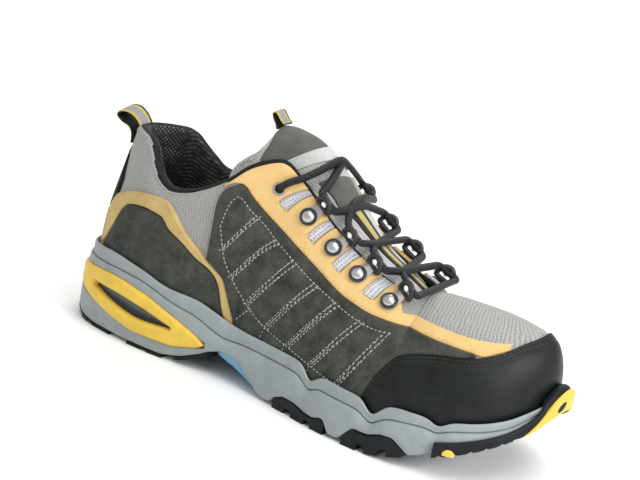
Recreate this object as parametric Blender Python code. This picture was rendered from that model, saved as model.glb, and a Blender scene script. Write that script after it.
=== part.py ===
"""A low-cut safety shoe for the right foot: a hollow upper with overlays on a cup midsole with rubber pods.

Lengths are millimetres: x from the sole's rear end towards the toe, y from the shoe's axis with medial +y,
and z from the floor. `place` turns them into metres about the middle of the shoe's own box.

A place around the shoe is a turn: 0 at the back of the heel, 1 at the tip of the toe along the lateral side,
and on to 2 along the medial side. A place up the upper is a share: 0 at the sole, 1 at the topline.
"""

import math
from collections import namedtuple

import bmesh
import bpy
import numpy as np

MM = 0.001
BOX_MIDDLE = np.array([149.9, -1.0, 0.0])
GAP = 0.35

# Driving sizes of the sole and of the upper
SOLE_LENGTH = 298.0
UPPER_INSET = 7.2
WALL = 2.2
OVERLAY = 1.4
OVERLAY_LIFT = 0.55
RIM_INNER_INSET = UPPER_INSET - OVERLAY_LIFT - OVERLAY - GAP
RIM_OUTER_INSET = 1.9
RIM_LEAN = 1.6
BUMPER_THICKNESS = 2.4
POD_CLEARANCE = 0.4
EDGE_INSET = 0.8
HEEL_FLARE = 2.4
INSERT_DEPTH = 2.4
INSERT_CROWN = 1.9
INSERT_EDGE = 0.4

Outline = namedtuple("Outline", "x lateral medial")
OUTLINE = [
    Outline(0, -1, -1),
    Outline(4, -17, 16),
    Outline(14, -28, 25.5),
    Outline(35, -36.5, 33),
    Outline(65, -40, 35.5),
    Outline(100, -38.5, 33),
    Outline(125, -38.5, 33),
    Outline(155, -44, 38),
    Outline(185, -51.5, 45),
    Outline(214, -55, 51),
    Outline(238, -54, 52.5),
    Outline(260, -48, 49.5),
    Outline(279, -35, 41),
    Outline(291, -18, 28.5),
    Outline(SOLE_LENGTH, 6, 6),
]

# Heights along the sole: the tread, the foot bed, the rim of the cup and the groove in its side
Height = namedtuple("Height", "x z")
TREAD = [
    Height(0, 7.5), Height(8, 3), Height(16, 0.8), Height(25, 0), Height(76, 0), Height(88, 2.6),
    Height(99, 7), Height(106, 10), Height(150, 0), Height(212, 0), Height(225, 1.8), Height(240, 5.8),
    Height(257, 11.8), Height(270, 17), Height(284, 24.5), Height(292, 31.2), Height(298, 40),
]
BED = [
    Height(0, 35.5), Height(60, 34.5), Height(95, 28), Height(130, 23), Height(160, 21.5),
    Height(190, 19.2), Height(214, 18.5), Height(240, 20.5), Height(262, 23.5), Height(282, 29.5),
    Height(298, 36),
]
RIM = [
    Height(0, 44.5), Height(14, 46.4), Height(30, 47.4), Height(46, 45.9), Height(58, 43.9),
    Height(67, 41.6), Height(76, 40.3), Height(84, 40.1), Height(91, 39.7), Height(97, 38.6),
    Height(106, 36.2), Height(116, 33.6), Height(130, 32.0), Height(160, 31.8), Height(190, 29.5),
    Height(214, 29), Height(236, 31), Height(252, 31), Height(268, 32.5), Height(284, 36.5), Height(298, 46),
]
GROOVE = [
    Height(0, 38), Height(25, 39.3), Height(39, 39.7), Height(51, 39.2), Height(63, 37.1),
    Height(73, 34.4), Height(82, 32.4), Height(91, 31.0), Height(99, 28.5), Height(105, 26.4),
    Height(114, 24.4), Height(130, 25.0), Height(160, 25), Height(190, 22.5), Height(214, 22),
    Height(236, 24.5), Height(252, 26), Height(268, 28), Height(284, 32), Height(298, 43.5),
]
MIDSOLE_FLOOR = [
    Height(0, 10), Height(6, 6), Height(14, 3.2), Height(24, 2.1), Height(76, 2.1), Height(88, 4.8),
    Height(99, 9.8), Height(106, 14), Height(113, 16.5), Height(120, 16), Height(127, 13),
    Height(134, 8), Height(140, 3.6), Height(144, 1.8), Height(151, 1.8), Height(153.5, 5.5),
    Height(160, 8.5), Height(168, 8.5), Height(176, 6.2), Height(183, 6.2), Height(188, 8.4),
    Height(191.5, 7), Height(194, 1.8), Height(201, 1.8), Height(203.5, 4.5), Height(209, 11),
    Height(218, 10.5), Height(226, 13.8), Height(233, 14.2), Height(239, 10.5), Height(243, 7.9),
    Height(252, 11.3), Height(255, 14.6), Height(258, 16.4), Height(271, 21.6), Height(284, 28),
    Height(292, 33.4), Height(298, 41),
]
BUMPER_TOP = [
    Height(252, 19.5), Height(266, 23), Height(278, 27.5), Height(287, 33), Height(293, 41),
    Height(298, 54.5),
]

# Valleys between the side lobes of the midsole: how far the rim dips and the wall draws in around each x
Valley = namedtuple("Valley", "x dip draw half_width")
VALLEYS = [Valley(175, 6, 1.5, 5.5), Valley(218, 6.5, 1.7, 6), Valley(255, 3, 1.2, 5)]

# Sections of the upper, one for each foot_x on the sole's edge: where its rib ends on the topline, the half
# width of the opening there, the medial side's extra height, the rib's handles, and the wall at the top
Section = namedtuple("Section", "foot_x top_x top_y half_gap top_z medial_lift rise swell reach drop "
                     "top_wall")
SECTIONS = [
    Section(0, 12.5, -0.5, 0, 113, 0, 28, 3.2, 0.5, 24, 7),
    Section(5, 15, -0.5, 7, 113.2, 0.3, 28, 3.2, 0.5, 24, 7),
    Section(13, 22, -0.6, 14.5, 113.4, 0.5, 27, 3.0, 0.8, 24, 7),
    Section(23, 30.5, -0.8, 20.5, 113, 1, 26, 3.0, 1.0, 24, 7),
    Section(32, 37, -1.0, 24, 109.5, 2.5, 24, 3.0, 1.2, 22, 7),
    Section(40, 43, -1.1, 26.5, 102, 5, 23, 3.0, 1.3, 20, 7),
    Section(48, 49.5, -1.2, 28.2, 95.5, 6.5, 21, 3.2, 1.5, 18, 6.8),
    Section(57, 58, -1.3, 29.5, 92.3, 4.5, 21, 3.2, 1.5, 17, 6.5),
    Section(68, 69, -1.3, 30.8, 94.6, 2, 22, 3.4, 1.2, 18, 6),
    Section(82, 82, -1.2, 31.2, 101, 1, 24, 3.5, 1.1, 20, 5.5),
    Section(95, 93, -1.0, 30.5, 108.5, 1, 26, 3.6, 1.0, 22, 5),
    Section(112, 107, -0.8, 26.5, 122, 1, 30, 4.5, 3.0, 25, 3.5),
    Section(122, 120, -0.5, 21, 127.5, 0, 31, 5.0, 6.5, 23, 2.6),
    Section(135, 133, -0.3, 18.5, 120, 0, 28, 5.0, 10.0, 19, 2.4),
    Section(160, 157, 0, 17.6, 101.5, 0, 23, 4.5, 13.5, 14, 2.3),
    Section(185, 182, 0.3, 17, 87.5, 0, 20, 3.5, 16.0, 9, 2.2),
    Section(205, 202, 0.6, 15.2, 80.8, 0, 18, 2.8, 18.0, 5, 2.2),
    Section(213, 209, 0.8, 11.5, 80, 0, 18, 2.5, 20.0, 3, 2.2),
    Section(218, 212.5, 1.0, 6.5, 79.9, 0, 18, 2.4, 23.0, 1.5, 2.2),
    Section(221, 214, 1.2, 0, 80.4, 0, 21, 2.3, 27.0, 0.5, 2.2),
    Section(243, 230, 2.2, 0, 80.8, 0, 27, 2.0, 31.0, 0, 2.2),
    Section(262, 245, 3.4, 0, 80.6, 0, 30, 1.8, 31.0, 0, 2.2),
    Section(281, 261, 4.6, 0, 79.8, 0, 29, 1.8, 24.0, 0, 2.2),
    Section(SOLE_LENGTH, 274, 5.6, 0, 78.4, 0, 25, 2.0, 14.0, 0, 2.2),
]
THROAT_BASE_X = 221
PADDING_FROM = 0.35
PADDING_FULL = 0.85

HEEL_STATIONS = (0, 0.9, 3, 7, 13, 21, 30, 38)
TOE_STATIONS = (254, 264, 273, 281, 288, 293, 296.3, SOLE_LENGTH)
UPPER_STATIONS = HEEL_STATIONS + (
    44, 50, 58, 69, 82, 95, 104, 112, 117, 122, 128, 136, 148, 160, 172, 185, 196, 205, 213, 218,
    THROAT_BASE_X, 232, 243,
) + TOE_STATIONS
UPPER_SHARES = (0, 0.17, 0.35, 0.52, 0.69, 0.85, 1)
MIDSOLE_STATIONS = (
    0, 0.9, 3, 6, 14, 24, 36, 50, 64, 76, 88, 99, 106, 113, 120, 127, 134, 140, 144, 151, 153.5, 160,
    168, 176, 183, 188, 191.5, 194, 201, 203.5, 209, 218, 226, 233, 239, 243, 252, 255, 258, 264, 271,
    278, 284, 289, 292, 295.5, 297.3, SOLE_LENGTH,
)

# Panel edges on the upper, by the foot_x of the rib: heights in the side view, or shares of the rib
Edge = namedtuple("Edge", "x at")
TOE_CAP_EDGE = [
    Edge(205.5, 21), Edge(209, 33), Edge(214, 44), Edge(220, 51.5), Edge(230, 56), Edge(243, 59.5),
    Edge(255, 62), Edge(266, 65.5), Edge(277, 70.5), Edge(287, 74.5), Edge(SOLE_LENGTH, 77.2),
]
EYESTAY_LOW = [
    Edge(94.5, 105.8), Edge(98, 107.9), Edge(103, 109.7), Edge(107, 110), Edge(110, 108.8),
    Edge(113.5, 105), Edge(119, 99.8), Edge(126.5, 95.4), Edge(135, 91.1), Edge(148, 84.6), Edge(162, 77.9),
    Edge(170, 74), Edge(178, 70.5), Edge(185, 68.4), Edge(198, 65), Edge(205, 64.2), Edge(218, 62.8),
    Edge(241, 63), Edge(258, 64.2), Edge(267, 66.4), Edge(274, 69.8), Edge(281, 72.7),
]
STRIPE_HIGH = [
    Edge(199, 69.5), Edge(210, 68), Edge(230, 67), Edge(250, 68), Edge(262, 69.8), Edge(272, 72.2),
    Edge(281, 74.6),
]
COUNTER_OUTER = [
    Edge(0, 76), Edge(8, 77), Edge(17, 80.2), Edge(34, 84.8), Edge(49, 86.8), Edge(57.5, 87),
    Edge(65, 82.6), Edge(71.5, 76.4), Edge(86, 67.2), Edge(98.5, 60.2), Edge(104, 56.6), Edge(110, 45.5),
    Edge(115, 35),
]
COUNTER_INNER = [
    Edge(0, 44), Edge(11.5, 47.5), Edge(19, 59.5), Edge(24, 72), Edge(29, 75.7), Edge(44, 78),
    Edge(56.5, 77), Edge(64, 72), Edge(74, 67.8), Edge(87, 61.2), Edge(94, 57.4), Edge(100.5, 50.5),
    Edge(104.5, 38), Edge(107.5, 33),
]
PANEL_CORNER = [
    Edge(91.5, 90), Edge(92.2, 94), Edge(93.5, 100.6), Edge(97.5, 106), Edge(104, 109), Edge(110, 112),
]
COUNTER_REAR_X = 15
COUNTER_FRONT_X = 107.5
TRIM_FRONT_X = 115
PANEL_REAR_X = 91.5
PANEL_FRONT_X = 254
STRIPE_FRONT_X = 281
HEEL_STRIP = [Edge(0, 102), Edge(3, 99), Edge(7, 91), Edge(11, 84)]

# Eyelets: foot_x of each ring's rib, the windows between the eyestay's tabs, and the sizes of the fittings
Ring = namedtuple("Ring", "x share")
RINGS = (Ring(145, 0.845), Ring(164, 0.845), Ring(182, 0.83), Ring(204, 0.79))
PUNCHED_EYELET = Ring(124.4, 0.825)
PUNCHED_STRAND_X = 134
WINDOWS = ((125.4, 131.6), (147.2, 152.5), (165.9, 172.1), (187.4, 195.3))
WINDOW_SHARE = 0.745
TAB_END_SHARE = 0.985
LAST_TAB_SHARE = 0.9
# How far each rib of the eyestay leans towards the toe between the windows' feet and the throat
TAB_LEAN = [
    Edge(110, 0), Edge(125.4, 14.2), Edge(131.6, 10.8), Edge(147.2, 8.6), Edge(159, 7), Edge(172, 6.4),
    Edge(195.3, 5.4), Edge(206, 2), Edge(213, 0),
]
RING_TURN = math.radians(36)
RIVET_RADIUS = 4.4
RIVET_HEIGHT = 2.6
CLIP_THICKNESS = 1.0
CLIP_HALF_WIDTH = 3.4
RING_REACH = 10.2
RING_WIRE = 1.0
RING_HALF_WIDTH = 4.6
RING_HEIGHT = 7.4

# Tongue, along its length from the free top to the end under the vamp: crown of its outer face
Tongue = namedtuple("Tongue", "x z half_width edge_drop edge_back thickness")
TONGUE = [
    Tongue(103.5, 139.0, 10, 3, 1, 3.0),
    Tongue(105.5, 140.6, 16, 7, 4, 6.0),
    Tongue(112, 142.0, 21, 15, 12, 8.0),
    Tongue(124, 140.0, 24, 29, 28, 8.5),
    Tongue(137, 135.0, 25, 36, 28, 8.5),
    Tongue(150, 125.0, 26, 35, 24, 8.0),
    Tongue(165, 108.6, 26, 27, 17, 7.0),
    Tongue(182, 92.2, 25.5, 17.8, 11, 6.0),
    Tongue(200, 81.8, 24.5, 12.5, 6, 5.0),
    Tongue(212, 76.0, 23, 9, 3, 4.0),
    Tongue(226, 73.6, 19, 5, 1, 3.0),
]
TONGUE_ACROSS = np.array([-1, -0.72, -0.4, 0, 0.4, 0.72, 1])
MEDIAL_NARROWING = 0.88

LACE_WIDTH = 3.8
LACE_THICKNESS = 3.0
LACE_SIDES = 5
LACE_CLEARANCE = 1.4
LACE_END = 5.0
LACE_APART = 2.5

RIBBON_THICKNESS = 1.3
HEEL_LOOP_WIDTH = 12.5
TONGUE_LOOP_WIDTH = 9.0
# Side view of each pull loop's middle line, from its sewn outer end over the top to its inner end; the tilt is
# how much higher its medial edge lies
Bend = namedtuple("Bend", "x z tilt")
HEEL_LOOP = [
    Bend(11.1, 103.4, 0), Bend(10.8, 107.6, 0), Bend(9.6, 111.0, 0.4), Bend(7.0, 113.5, 1.2),
    Bend(2.8, 115.0, 2.2), Bend(-1.2, 117.9, 2.5), Bend(0.9, 120.6, 2.5), Bend(6.2, 121.4, 2.4),
    Bend(11.2, 119.4, 1.4), Bend(14.6, 116.2, 0.6), Bend(16.0, 114.3, 0),
]
TONGUE_LOOP = [
    Bend(109.4, 142.9, 0), Bend(106.4, 142.7, 0), Bend(104.2, 143.6, 0.2), Bend(102.0, 145.8, 0.4),
    Bend(99.9, 147.6, 0.6), Bend(98.2, 146.6, 0.6), Bend(99.0, 144.2, 0.4), Bend(101.0, 141.4, 0.2),
    Bend(102.2, 138.4, 0),
]

SHANK_STATIONS = (107, 110, 114, 119, 125, 131, 137, 142)
SHANK_HALF_WIDTHS = (28, 32, 33.5, 34, 34.5, 35, 35, 34)
SHANK_BELLY = (1.0, 3.5, 6, 7.5, 7, 5, 2.2, 0.6)

INSOLE_THICKNESS = 4.0
INSOLE_INSET = UPPER_INSET + WALL + 2 * GAP
INSOLE_STATIONS = (0, 3, 13, 30, 44, 58, 69, 82, 95, 112, 128, 148, 172, 196, 218, 243, 264, 281, 293,
                   SOLE_LENGTH)

Colour = namedtuple("Colour", "rgb roughness metallic")
CHARCOAL_SUEDE = Colour((0.075, 0.078, 0.07), 0.95, 0)
WHEAT_NUBUCK = Colour((0.74, 0.49, 0.19), 0.85, 0)
GREY_MESH = Colour((0.42, 0.42, 0.41), 0.9, 0)
BLACK_LEATHER = Colour((0.022, 0.025, 0.025), 0.5, 0)
GREY_FOAM = Colour((0.33, 0.35, 0.37), 0.6, 0)
YELLOW_FOAM = Colour((0.85, 0.56, 0.06), 0.5, 0)
BLACK_RUBBER = Colour((0.02, 0.02, 0.02), 0.7, 0)
BLUE_PLASTIC = Colour((0.16, 0.36, 0.50), 0.35, 0)
STEEL = Colour((0.62, 0.62, 0.63), 0.3, 1)
BLACK_WEBBING = Colour((0.025, 0.025, 0.025), 0.9, 0)


# Interpolation

def smooth(knots, values, flat_ends=False):
    """A monotone cubic through the knots, as a function of an array."""
    knots, values = np.asarray(knots, float), np.asarray(values, float)
    step = np.diff(knots)
    rise = np.diff(values) / step
    slope = np.zeros(len(knots))
    before, after = rise[:-1], rise[1:]
    weight_before, weight_after = 2 * step[1:] + step[:-1], step[1:] + 2 * step[:-1]
    same_way = before * after > 0
    mean = np.where(same_way, weight_before / np.where(same_way, before, 1)
                    + weight_after / np.where(same_way, after, 1), 1)
    slope[1:-1] = np.where(same_way, (weight_before + weight_after) / mean, 0)
    if not flat_ends:
        slope[0], slope[-1] = rise[0], rise[-1]

    def value(at):
        at = np.clip(np.asarray(at, float), knots[0], knots[-1])
        i = np.clip(np.searchsorted(knots, at, side="right") - 1, 0, len(step) - 1)
        s = (at - knots[i]) / step[i]
        return ((1 + 2 * s) * (1 - s) ** 2 * values[i] + s * (1 - s) ** 2 * step[i] * slope[i]
                + s * s * (3 - 2 * s) * values[i + 1] - s * s * (1 - s) * step[i] * slope[i + 1])

    return value


def round_loop(knots, values, period):
    """A smooth closed curve through the knots, as a function of an array."""
    knots, values = np.asarray(knots, float), np.asarray(values, float)
    around = np.concatenate([knots[-2:] - period, knots, knots[:2] + period])
    heights = np.concatenate([values[-2:], values, values[:2]])
    step = np.diff(around)
    rise = np.diff(heights) / step
    slope = np.zeros(len(around))
    slope[1:-1] = (rise[:-1] * step[1:] + rise[1:] * step[:-1]) / (step[1:] + step[:-1])

    def value(at):
        at = np.mod(np.asarray(at, float), period)
        i = np.searchsorted(around, at, side="right") - 1
        s = (at - around[i]) / step[i]
        return ((1 + 2 * s) * (1 - s) ** 2 * heights[i] + s * (1 - s) ** 2 * step[i] * slope[i]
                + s * s * (3 - 2 * s) * heights[i + 1] - s * s * (1 - s) * step[i] * slope[i + 1])

    return value


def column(rows, name, **options):
    return smooth([row[0] for row in rows], [getattr(row, name) for row in rows], **options)


def soft_step(low, high, at):
    s = np.clip((at - low) / (high - low), 0, 1)
    return s * s * (3 - 2 * s)


# The sole's outline and heights

def turn_of(x, medial=False):
    turn = math.acos(1 - 2 * x / SOLE_LENGTH) / math.pi
    return 2 - turn if medial else turn


def side_share(turn):
    return 1 - np.abs(1 - np.mod(turn, 2))


def station_x(turn):
    return SOLE_LENGTH * (1 - np.cos(np.pi * side_share(turn))) / 2


def outline_loop():
    lateral = [(turn_of(row.x), row.lateral) for row in OUTLINE]
    medial = [(turn_of(row.x, medial=True), row.medial) for row in OUTLINE[-2:0:-1]]
    turns, ys = zip(*(lateral + medial))
    return round_loop(turns, ys, 2)


outline_y = outline_loop()
tread_z = column(TREAD, "z")
bed_z = column(BED, "z")
groove_z = column(GROOVE, "z")
bumper_top_z = column(BUMPER_TOP, "z")
plain_rim_z = column(RIM, "z")


def midsole_floor_z(x):
    """The midsole's underside, straight between the rows of its table."""
    return np.interp(x, [row.x for row in MIDSOLE_FLOOR], [row.z for row in MIDSOLE_FLOOR])


def valley(x, depth):
    return sum(getattr(v, depth) * np.exp(-((x - v.x) / v.half_width) ** 2) for v in VALLEYS)


def rim_z(x):
    return plain_rim_z(x) - valley(x, "dip")


def tread_inset(x):
    """How far the tread's edge lies inside the outline; the heel flares out to the rear."""
    return EDGE_INSET - HEEL_FLARE * soft_step(34, 2, x)


def sole_edge(turn, proud):
    """A point `proud` millimetres outside the sole's outline, in plan."""
    tiny = 1e-4
    turn = np.asarray(turn, float)
    along = np.stack([station_x(turn + tiny) - station_x(turn - tiny),
                      outline_y(turn + tiny) - outline_y(turn - tiny)], -1)
    # The two ends of the outline run straight across the shoe
    along /= np.linalg.norm(along, axis=-1, keepdims=True)
    outward = np.stack([along[..., 1], -along[..., 0]], -1)
    return np.stack([station_x(turn), outline_y(turn)], -1) + outward * np.asarray(proud)[..., None]


def sole_point(turn, proud, z):
    turn, proud, z = np.broadcast_arrays(np.asarray(turn, float), proud, z)
    return np.concatenate([sole_edge(turn, proud), z[..., None]], -1)


def both_sides(stations):
    """Turns for a closed loop: the stations along the lateral side, then back along the medial side."""
    lateral = [turn_of(x) for x in stations]
    return np.array(lateral + [2 - turn for turn in lateral[-2:0:-1]])


def around_toe(stations):
    lateral = [turn_of(x) for x in stations]
    return np.array(lateral + [2 - turn for turn in lateral[-2::-1]])


def around_heel(stations):
    lateral = [turn_of(x) for x in stations]
    return np.array([-turn for turn in lateral[:0:-1]] + lateral)


# The upper's surface

def section_column(name):
    shares = [turn_of(row.foot_x) for row in SECTIONS]
    return smooth(shares, [getattr(row, name) for row in SECTIONS], flat_ends=name != "half_gap")


section = {name: section_column(name) for name in Section._fields[1:]}


def upper_point(turn, share):
    turn, share = np.broadcast_arrays(np.asarray(turn, float), np.asarray(share, float))
    side = side_share(turn)
    row = {name: value(side) for name, value in section.items()}
    medial = np.where(np.mod(turn, 2) > 1, 1, -1)
    foot = sole_point(turn, -UPPER_INSET, bed_z(station_x(turn)) + GAP)
    top = np.stack([row["top_x"], row["top_y"] + medial * row["half_gap"],
                    row["top_z"] + np.where(medial > 0, row["medial_lift"], 0)], -1)
    outward = foot[..., :2] - top[..., :2] + 8 * (sole_edge(turn, 1) - sole_edge(turn, 0))
    outward /= np.linalg.norm(outward, axis=-1, keepdims=True)
    up = np.array([0, 0, 1.0])
    flat = np.concatenate([outward, np.zeros(outward.shape[:-1] + (1,))], -1)
    lower = foot + up * row["rise"][..., None] + flat * row["swell"][..., None]
    upper = top - up * row["drop"][..., None] + flat * row["reach"][..., None]
    s = share[..., None]
    return foot * (1 - s) ** 3 + 3 * lower * s * (1 - s) ** 2 + 3 * upper * s * s * (1 - s) + top * s ** 3


def upper_normal(turn, share):
    turn, share = np.broadcast_arrays(np.asarray(turn, float), np.minimum(np.asarray(share, float), 0.985))
    tiny = 2e-3
    forward = upper_point(turn + tiny, share) - upper_point(turn - tiny, share)
    upward = upper_point(turn, np.minimum(share + tiny, 1)) - upper_point(turn, np.maximum(share - tiny, 0))
    normal = np.cross(forward, upward)
    return normal / np.linalg.norm(normal, axis=-1, keepdims=True)


def on_upper(turn, share, proud):
    return upper_point(turn, share) + upper_normal(turn, share) * np.asarray(proud)[..., None]


def share_at_height(turn, z):
    """The share of the rib at which it reaches height z."""
    low, high = np.zeros(np.shape(turn)), np.ones(np.shape(turn))
    for _ in range(40):
        middle = (low + high) / 2
        below = upper_point(turn, middle)[..., 2] < z
        low, high = np.where(below, middle, low), np.where(below, high, middle)
    return (low + high) / 2


def wall_at(turn, share):
    padding = soft_step(PADDING_FROM, PADDING_FULL, share)
    return WALL + (section["top_wall"](side_share(turn)) - WALL) * padding


# Mesh makers

def place(points):
    return (np.asarray(points, float).reshape(-1, 3) - BOX_MIDDLE) * MM


def material_of(name, colour):
    material = bpy.data.materials.get(name) or bpy.data.materials.new(name)
    material.use_nodes = True
    shader = material.node_tree.nodes["Principled BSDF"]
    shader.inputs["Base Color"].default_value = (*colour.rgb, 1)
    shader.inputs["Roughness"].default_value = colour.roughness
    shader.inputs["Metallic"].default_value = colour.metallic
    return material


def add_object(name, points, faces, finish):
    mesh = bpy.data.meshes.new(name)
    mesh.from_pydata(place(points).tolist(), [], [list(face) for face in faces])
    mesh.validate()
    bm = bmesh.new()
    bm.from_mesh(mesh)
    bmesh.ops.remove_doubles(bm, verts=bm.verts, dist=1e-7)
    if bm.calc_volume(signed=True) < 0:
        bmesh.ops.reverse_faces(bm, faces=bm.faces)
    bm.to_mesh(mesh)
    bm.free()
    mesh.shade_smooth()
    mesh.set_sharp_from_angle(angle=math.radians(35))
    mesh.materials.append(material_of(finish, FINISHES[finish]))
    made = bpy.data.objects.new(name, mesh)
    bpy.context.scene.collection.objects.link(made)
    return made


def shell(name, outer, inner, finish, keep=None, wrap=False):
    """A closed wall between two grids of points, with the cells in `keep`; points that meet are one."""
    outer, inner = np.asarray(outer, float), np.asarray(inner, float)
    columns, rows = outer.shape[:2]
    number, points, backs = {}, [], []

    def index(i, j):
        key = tuple(np.round(outer[i, j], 4))
        if key not in number:
            number[key] = len(points)
            points.append(outer[i, j])
            backs.append([])
        backs[number[key]].append(inner[i, j])
        return number[key]

    fronts = []
    for i in range(columns if wrap else columns - 1):
        for j in range(rows - 1):
            if keep is not None and not keep[i][j]:
                continue
            after = (i + 1) % columns
            corners = [index(i, j), index(after, j), index(after, j + 1), index(i, j + 1)]
            corners = [c for k, c in enumerate(corners) if c != corners[k - 1]]
            if len(set(corners)) > 2:
                fronts.append(corners)
    count = len(points)
    points += [np.mean(found, axis=0) for found in backs]
    faces = fronts + [[c + count for c in reversed(front)] for front in fronts]
    ends = {(a, b) for front in fronts for a, b in zip(front, front[1:] + front[:1])}
    faces += [[b, a, a + count, b + count] for a, b in ends if (b, a) not in ends]
    return add_object(name, points, faces, finish)


def stack(name, loops, finish):
    """A closed solid from loops around the sole, capped across from side to side at both ends."""
    loops = np.asarray(loops, float)
    size = loops.shape[1]
    faces = []
    for k in range(len(loops) - 1):
        for i in range(size):
            after = (i + 1) % size
            faces.append([k * size + i, k * size + after, (k + 1) * size + after, (k + 1) * size + i])
    for first, turned in ((0, True), ((len(loops) - 1) * size, False)):
        for i in range(size // 2):
            across = [i, i + 1, size - i - 1, (size - i) % size]
            across = [first + c for k, c in enumerate(across) if c not in across[:k]]
            faces.append(across[::-1] if turned else across)
    return add_object(name, loops.reshape(-1, 3), faces, finish)


def swept(name, profiles, finish, closed=False):
    """A solid swept through closed profiles of equal size, capped unless it closes on itself."""
    profiles = np.asarray(profiles, float)
    count, size = profiles.shape[:2]
    faces = []
    for k in range(count if closed else count - 1):
        after = (k + 1) % count
        for i in range(size):
            j = (i + 1) % size
            faces.append([k * size + i, k * size + j, after * size + j, after * size + i])
    if not closed:
        faces.append(list(range(size))[::-1])
        faces.append([(count - 1) * size + i for i in range(size)])
    return add_object(name, profiles.reshape(-1, 3), faces, finish)


def union(target, *others):
    """Joins the others into the target and removes them."""
    for other in others:
        modifier = target.modifiers.new("join", "BOOLEAN")
        modifier.operation, modifier.object = "UNION", other
        apply_modifiers(target)
        bpy.data.objects.remove(other)
    return target


def apply_modifiers(target):
    graph = bpy.context.evaluated_depsgraph_get()
    mesh = bpy.data.meshes.new_from_object(target.evaluated_get(graph))
    target.modifiers.clear()
    target.data = mesh


def cut(target, cutter):
    modifier = target.modifiers.new("pocket", "BOOLEAN")
    modifier.operation, modifier.object = "DIFFERENCE", cutter
    apply_modifiers(target)
    bpy.data.objects.remove(cutter)


# The sole

def build_midsole():
    turns = both_sides(MIDSOLE_STATIONS)
    x = station_x(turns)
    draw = valley(x, "draw")
    rim, groove, floor = rim_z(x), groove_z(x) - valley(x, "dip") * 0.7, midsole_floor_z(x)
    rings = [
        (RIM_INNER_INSET, bed_z(x)),
        (RIM_INNER_INSET - RIM_LEAN, rim - 0.5),
        (RIM_OUTER_INSET, rim),
        (1.4 + draw * 0.5, groove + 0.4),
        (0.2 + draw, groove - 0.8),
        (-0.2 + draw, (groove + floor) / 2),
        (tread_inset(x) + draw * 0.5, floor),
    ]
    midsole = stack("midsole", [sole_point(turns, -inset, z) for inset, z in rings], "midsole_grey")
    cut(midsole, build_insert("insert_pocket", pocket=True))
    return midsole


INSERT_STATIONS = (0, 1.5, 5, 14, 24, 36, 46, 58, 69, 80, 92, 101)
SLOT_BACK_STATIONS = (30, 36, 46, 58, 69, 75)
POCKET_TIP_X = 102.5
Insert = namedtuple("Insert", "x low slot_low slot_high high")
INSERT = [
    Insert(0, 20.6, 26.0, 26.0, 31.4),
    Insert(8, 19.0, 26.0, 26.0, 33.0),
    Insert(24, 15.6, 24.9, 26.1, 35.2),
    Insert(36, 12.7, 20.4, 26.9, 35.7),
    Insert(58, 9.1, 16.7, 25.5, 33.1),
    Insert(80, 9.4, 18.6, 19.8, 26.5),
    Insert(92, 11.9, 17.0, 17.0, 22.2),
    Insert(101, 14.7, 16.6, 16.6, 18.5),
]
SLOT_FROM_X, SLOT_TO_X = 24, 80
insert_edge = {name: column(INSERT, name) for name in Insert._fields[1:]}


def build_insert(name, pocket=False):
    """The heel insert, or the pocket it sits in: a band around the heel with a pointed tip on each side."""
    turns = around_heel(INSERT_STATIONS + (POCKET_TIP_X,) if pocket else INSERT_STATIONS)
    x = station_x(turns)
    edge = {side: value(x) for side, value in insert_edge.items()}
    if pocket:
        heights, prouds, keep = [edge["low"] - GAP, edge["high"] + GAP], [4.0, 4.0], None
    else:
        low_crown, high_crown = (edge["low"] + edge["slot_low"]) / 2, (edge["slot_high"] + edge["high"]) / 2
        heights = [edge["low"], low_crown, edge["slot_low"], edge["slot_high"], high_crown, edge["high"]]
        prouds = [INSERT_EDGE, INSERT_CROWN, INSERT_EDGE, INSERT_EDGE, INSERT_CROWN, INSERT_EDGE]
        slot = (np.minimum(x[:-1], x[1:]) > SLOT_FROM_X - 0.1) & (np.maximum(x[:-1], x[1:]) < SLOT_TO_X + 0.1)
        keep = [[row != 2 or not is_slot for row in range(5)] for is_slot in slot]
    z = np.stack(heights, 1)
    around = np.repeat(turns[:, None], z.shape[1], 1)
    outer = sole_point(around, np.broadcast_to(prouds, z.shape), z)
    inner = sole_point(around, -INSERT_DEPTH - GAP if pocket else -INSERT_DEPTH, z)
    return shell(name, outer, inner, "insert_yellow", keep=keep)


def build_slot_backs():
    """The dark back of the slot on each side of the insert."""
    for side, medial in (("lateral", False), ("medial", True)):
        turns = np.array([turn_of(x, medial) for x in SLOT_BACK_STATIONS])
        x = station_x(turns)
        low, high = insert_edge["slot_low"](x) + 0.9, insert_edge["slot_high"](x) - 0.9
        z = np.stack([low, high], 1)
        around = np.repeat(turns[:, None], 2, 1)
        outer, inner = sole_point(around, -1.0, z), sole_point(around, -INSERT_DEPTH, z)
        shell(f"slot_back_{side}", outer, inner, "rubber_black")


Groove = namedtuple("Groove", "middle half_width")
Pod = namedtuple("Pod", "name from_x to_x cross_grooves depth")
PODS = [
    Pod("outsole_heel_rear", 2.5, 38, (Groove(21, 1.8),), 1.0),
    Pod("outsole_heel_middle", 52, 77, (Groove(64.5, 1.8),), 1.0),
    Pod("outsole_heel_front", 85, 106, (), 0.8),
    Pod("outsole_waist_pod", 154, 191.5, (Groove(165.5, 2), Groove(180, 2)), 3.2),
    Pod("outsole_ball_pod", 204, 240, (Groove(216, 2), Groove(229, 2)), 3.6),
    Pod("outsole_toe_pod", 259, 290, (Groove(268, 1.8), Groove(279, 1.8)), 1.6),
]
LONG_GROOVES = (Groove(0, 0.07),)
WALL_SLOPE = 0.7


def groove_lines(first, last, grooves, slope):
    """Lines of the tread's grid, and how deep each is: 0 on a lug and 1 in a groove."""
    lines = [(first, 0), (last, 0)]
    for groove in grooves:
        for side in (-1, 1):
            lines += [(groove.middle + side * (groove.half_width + slope), 0),
                      (groove.middle + side * groove.half_width, 1)]
    return sorted(lines)


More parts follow.
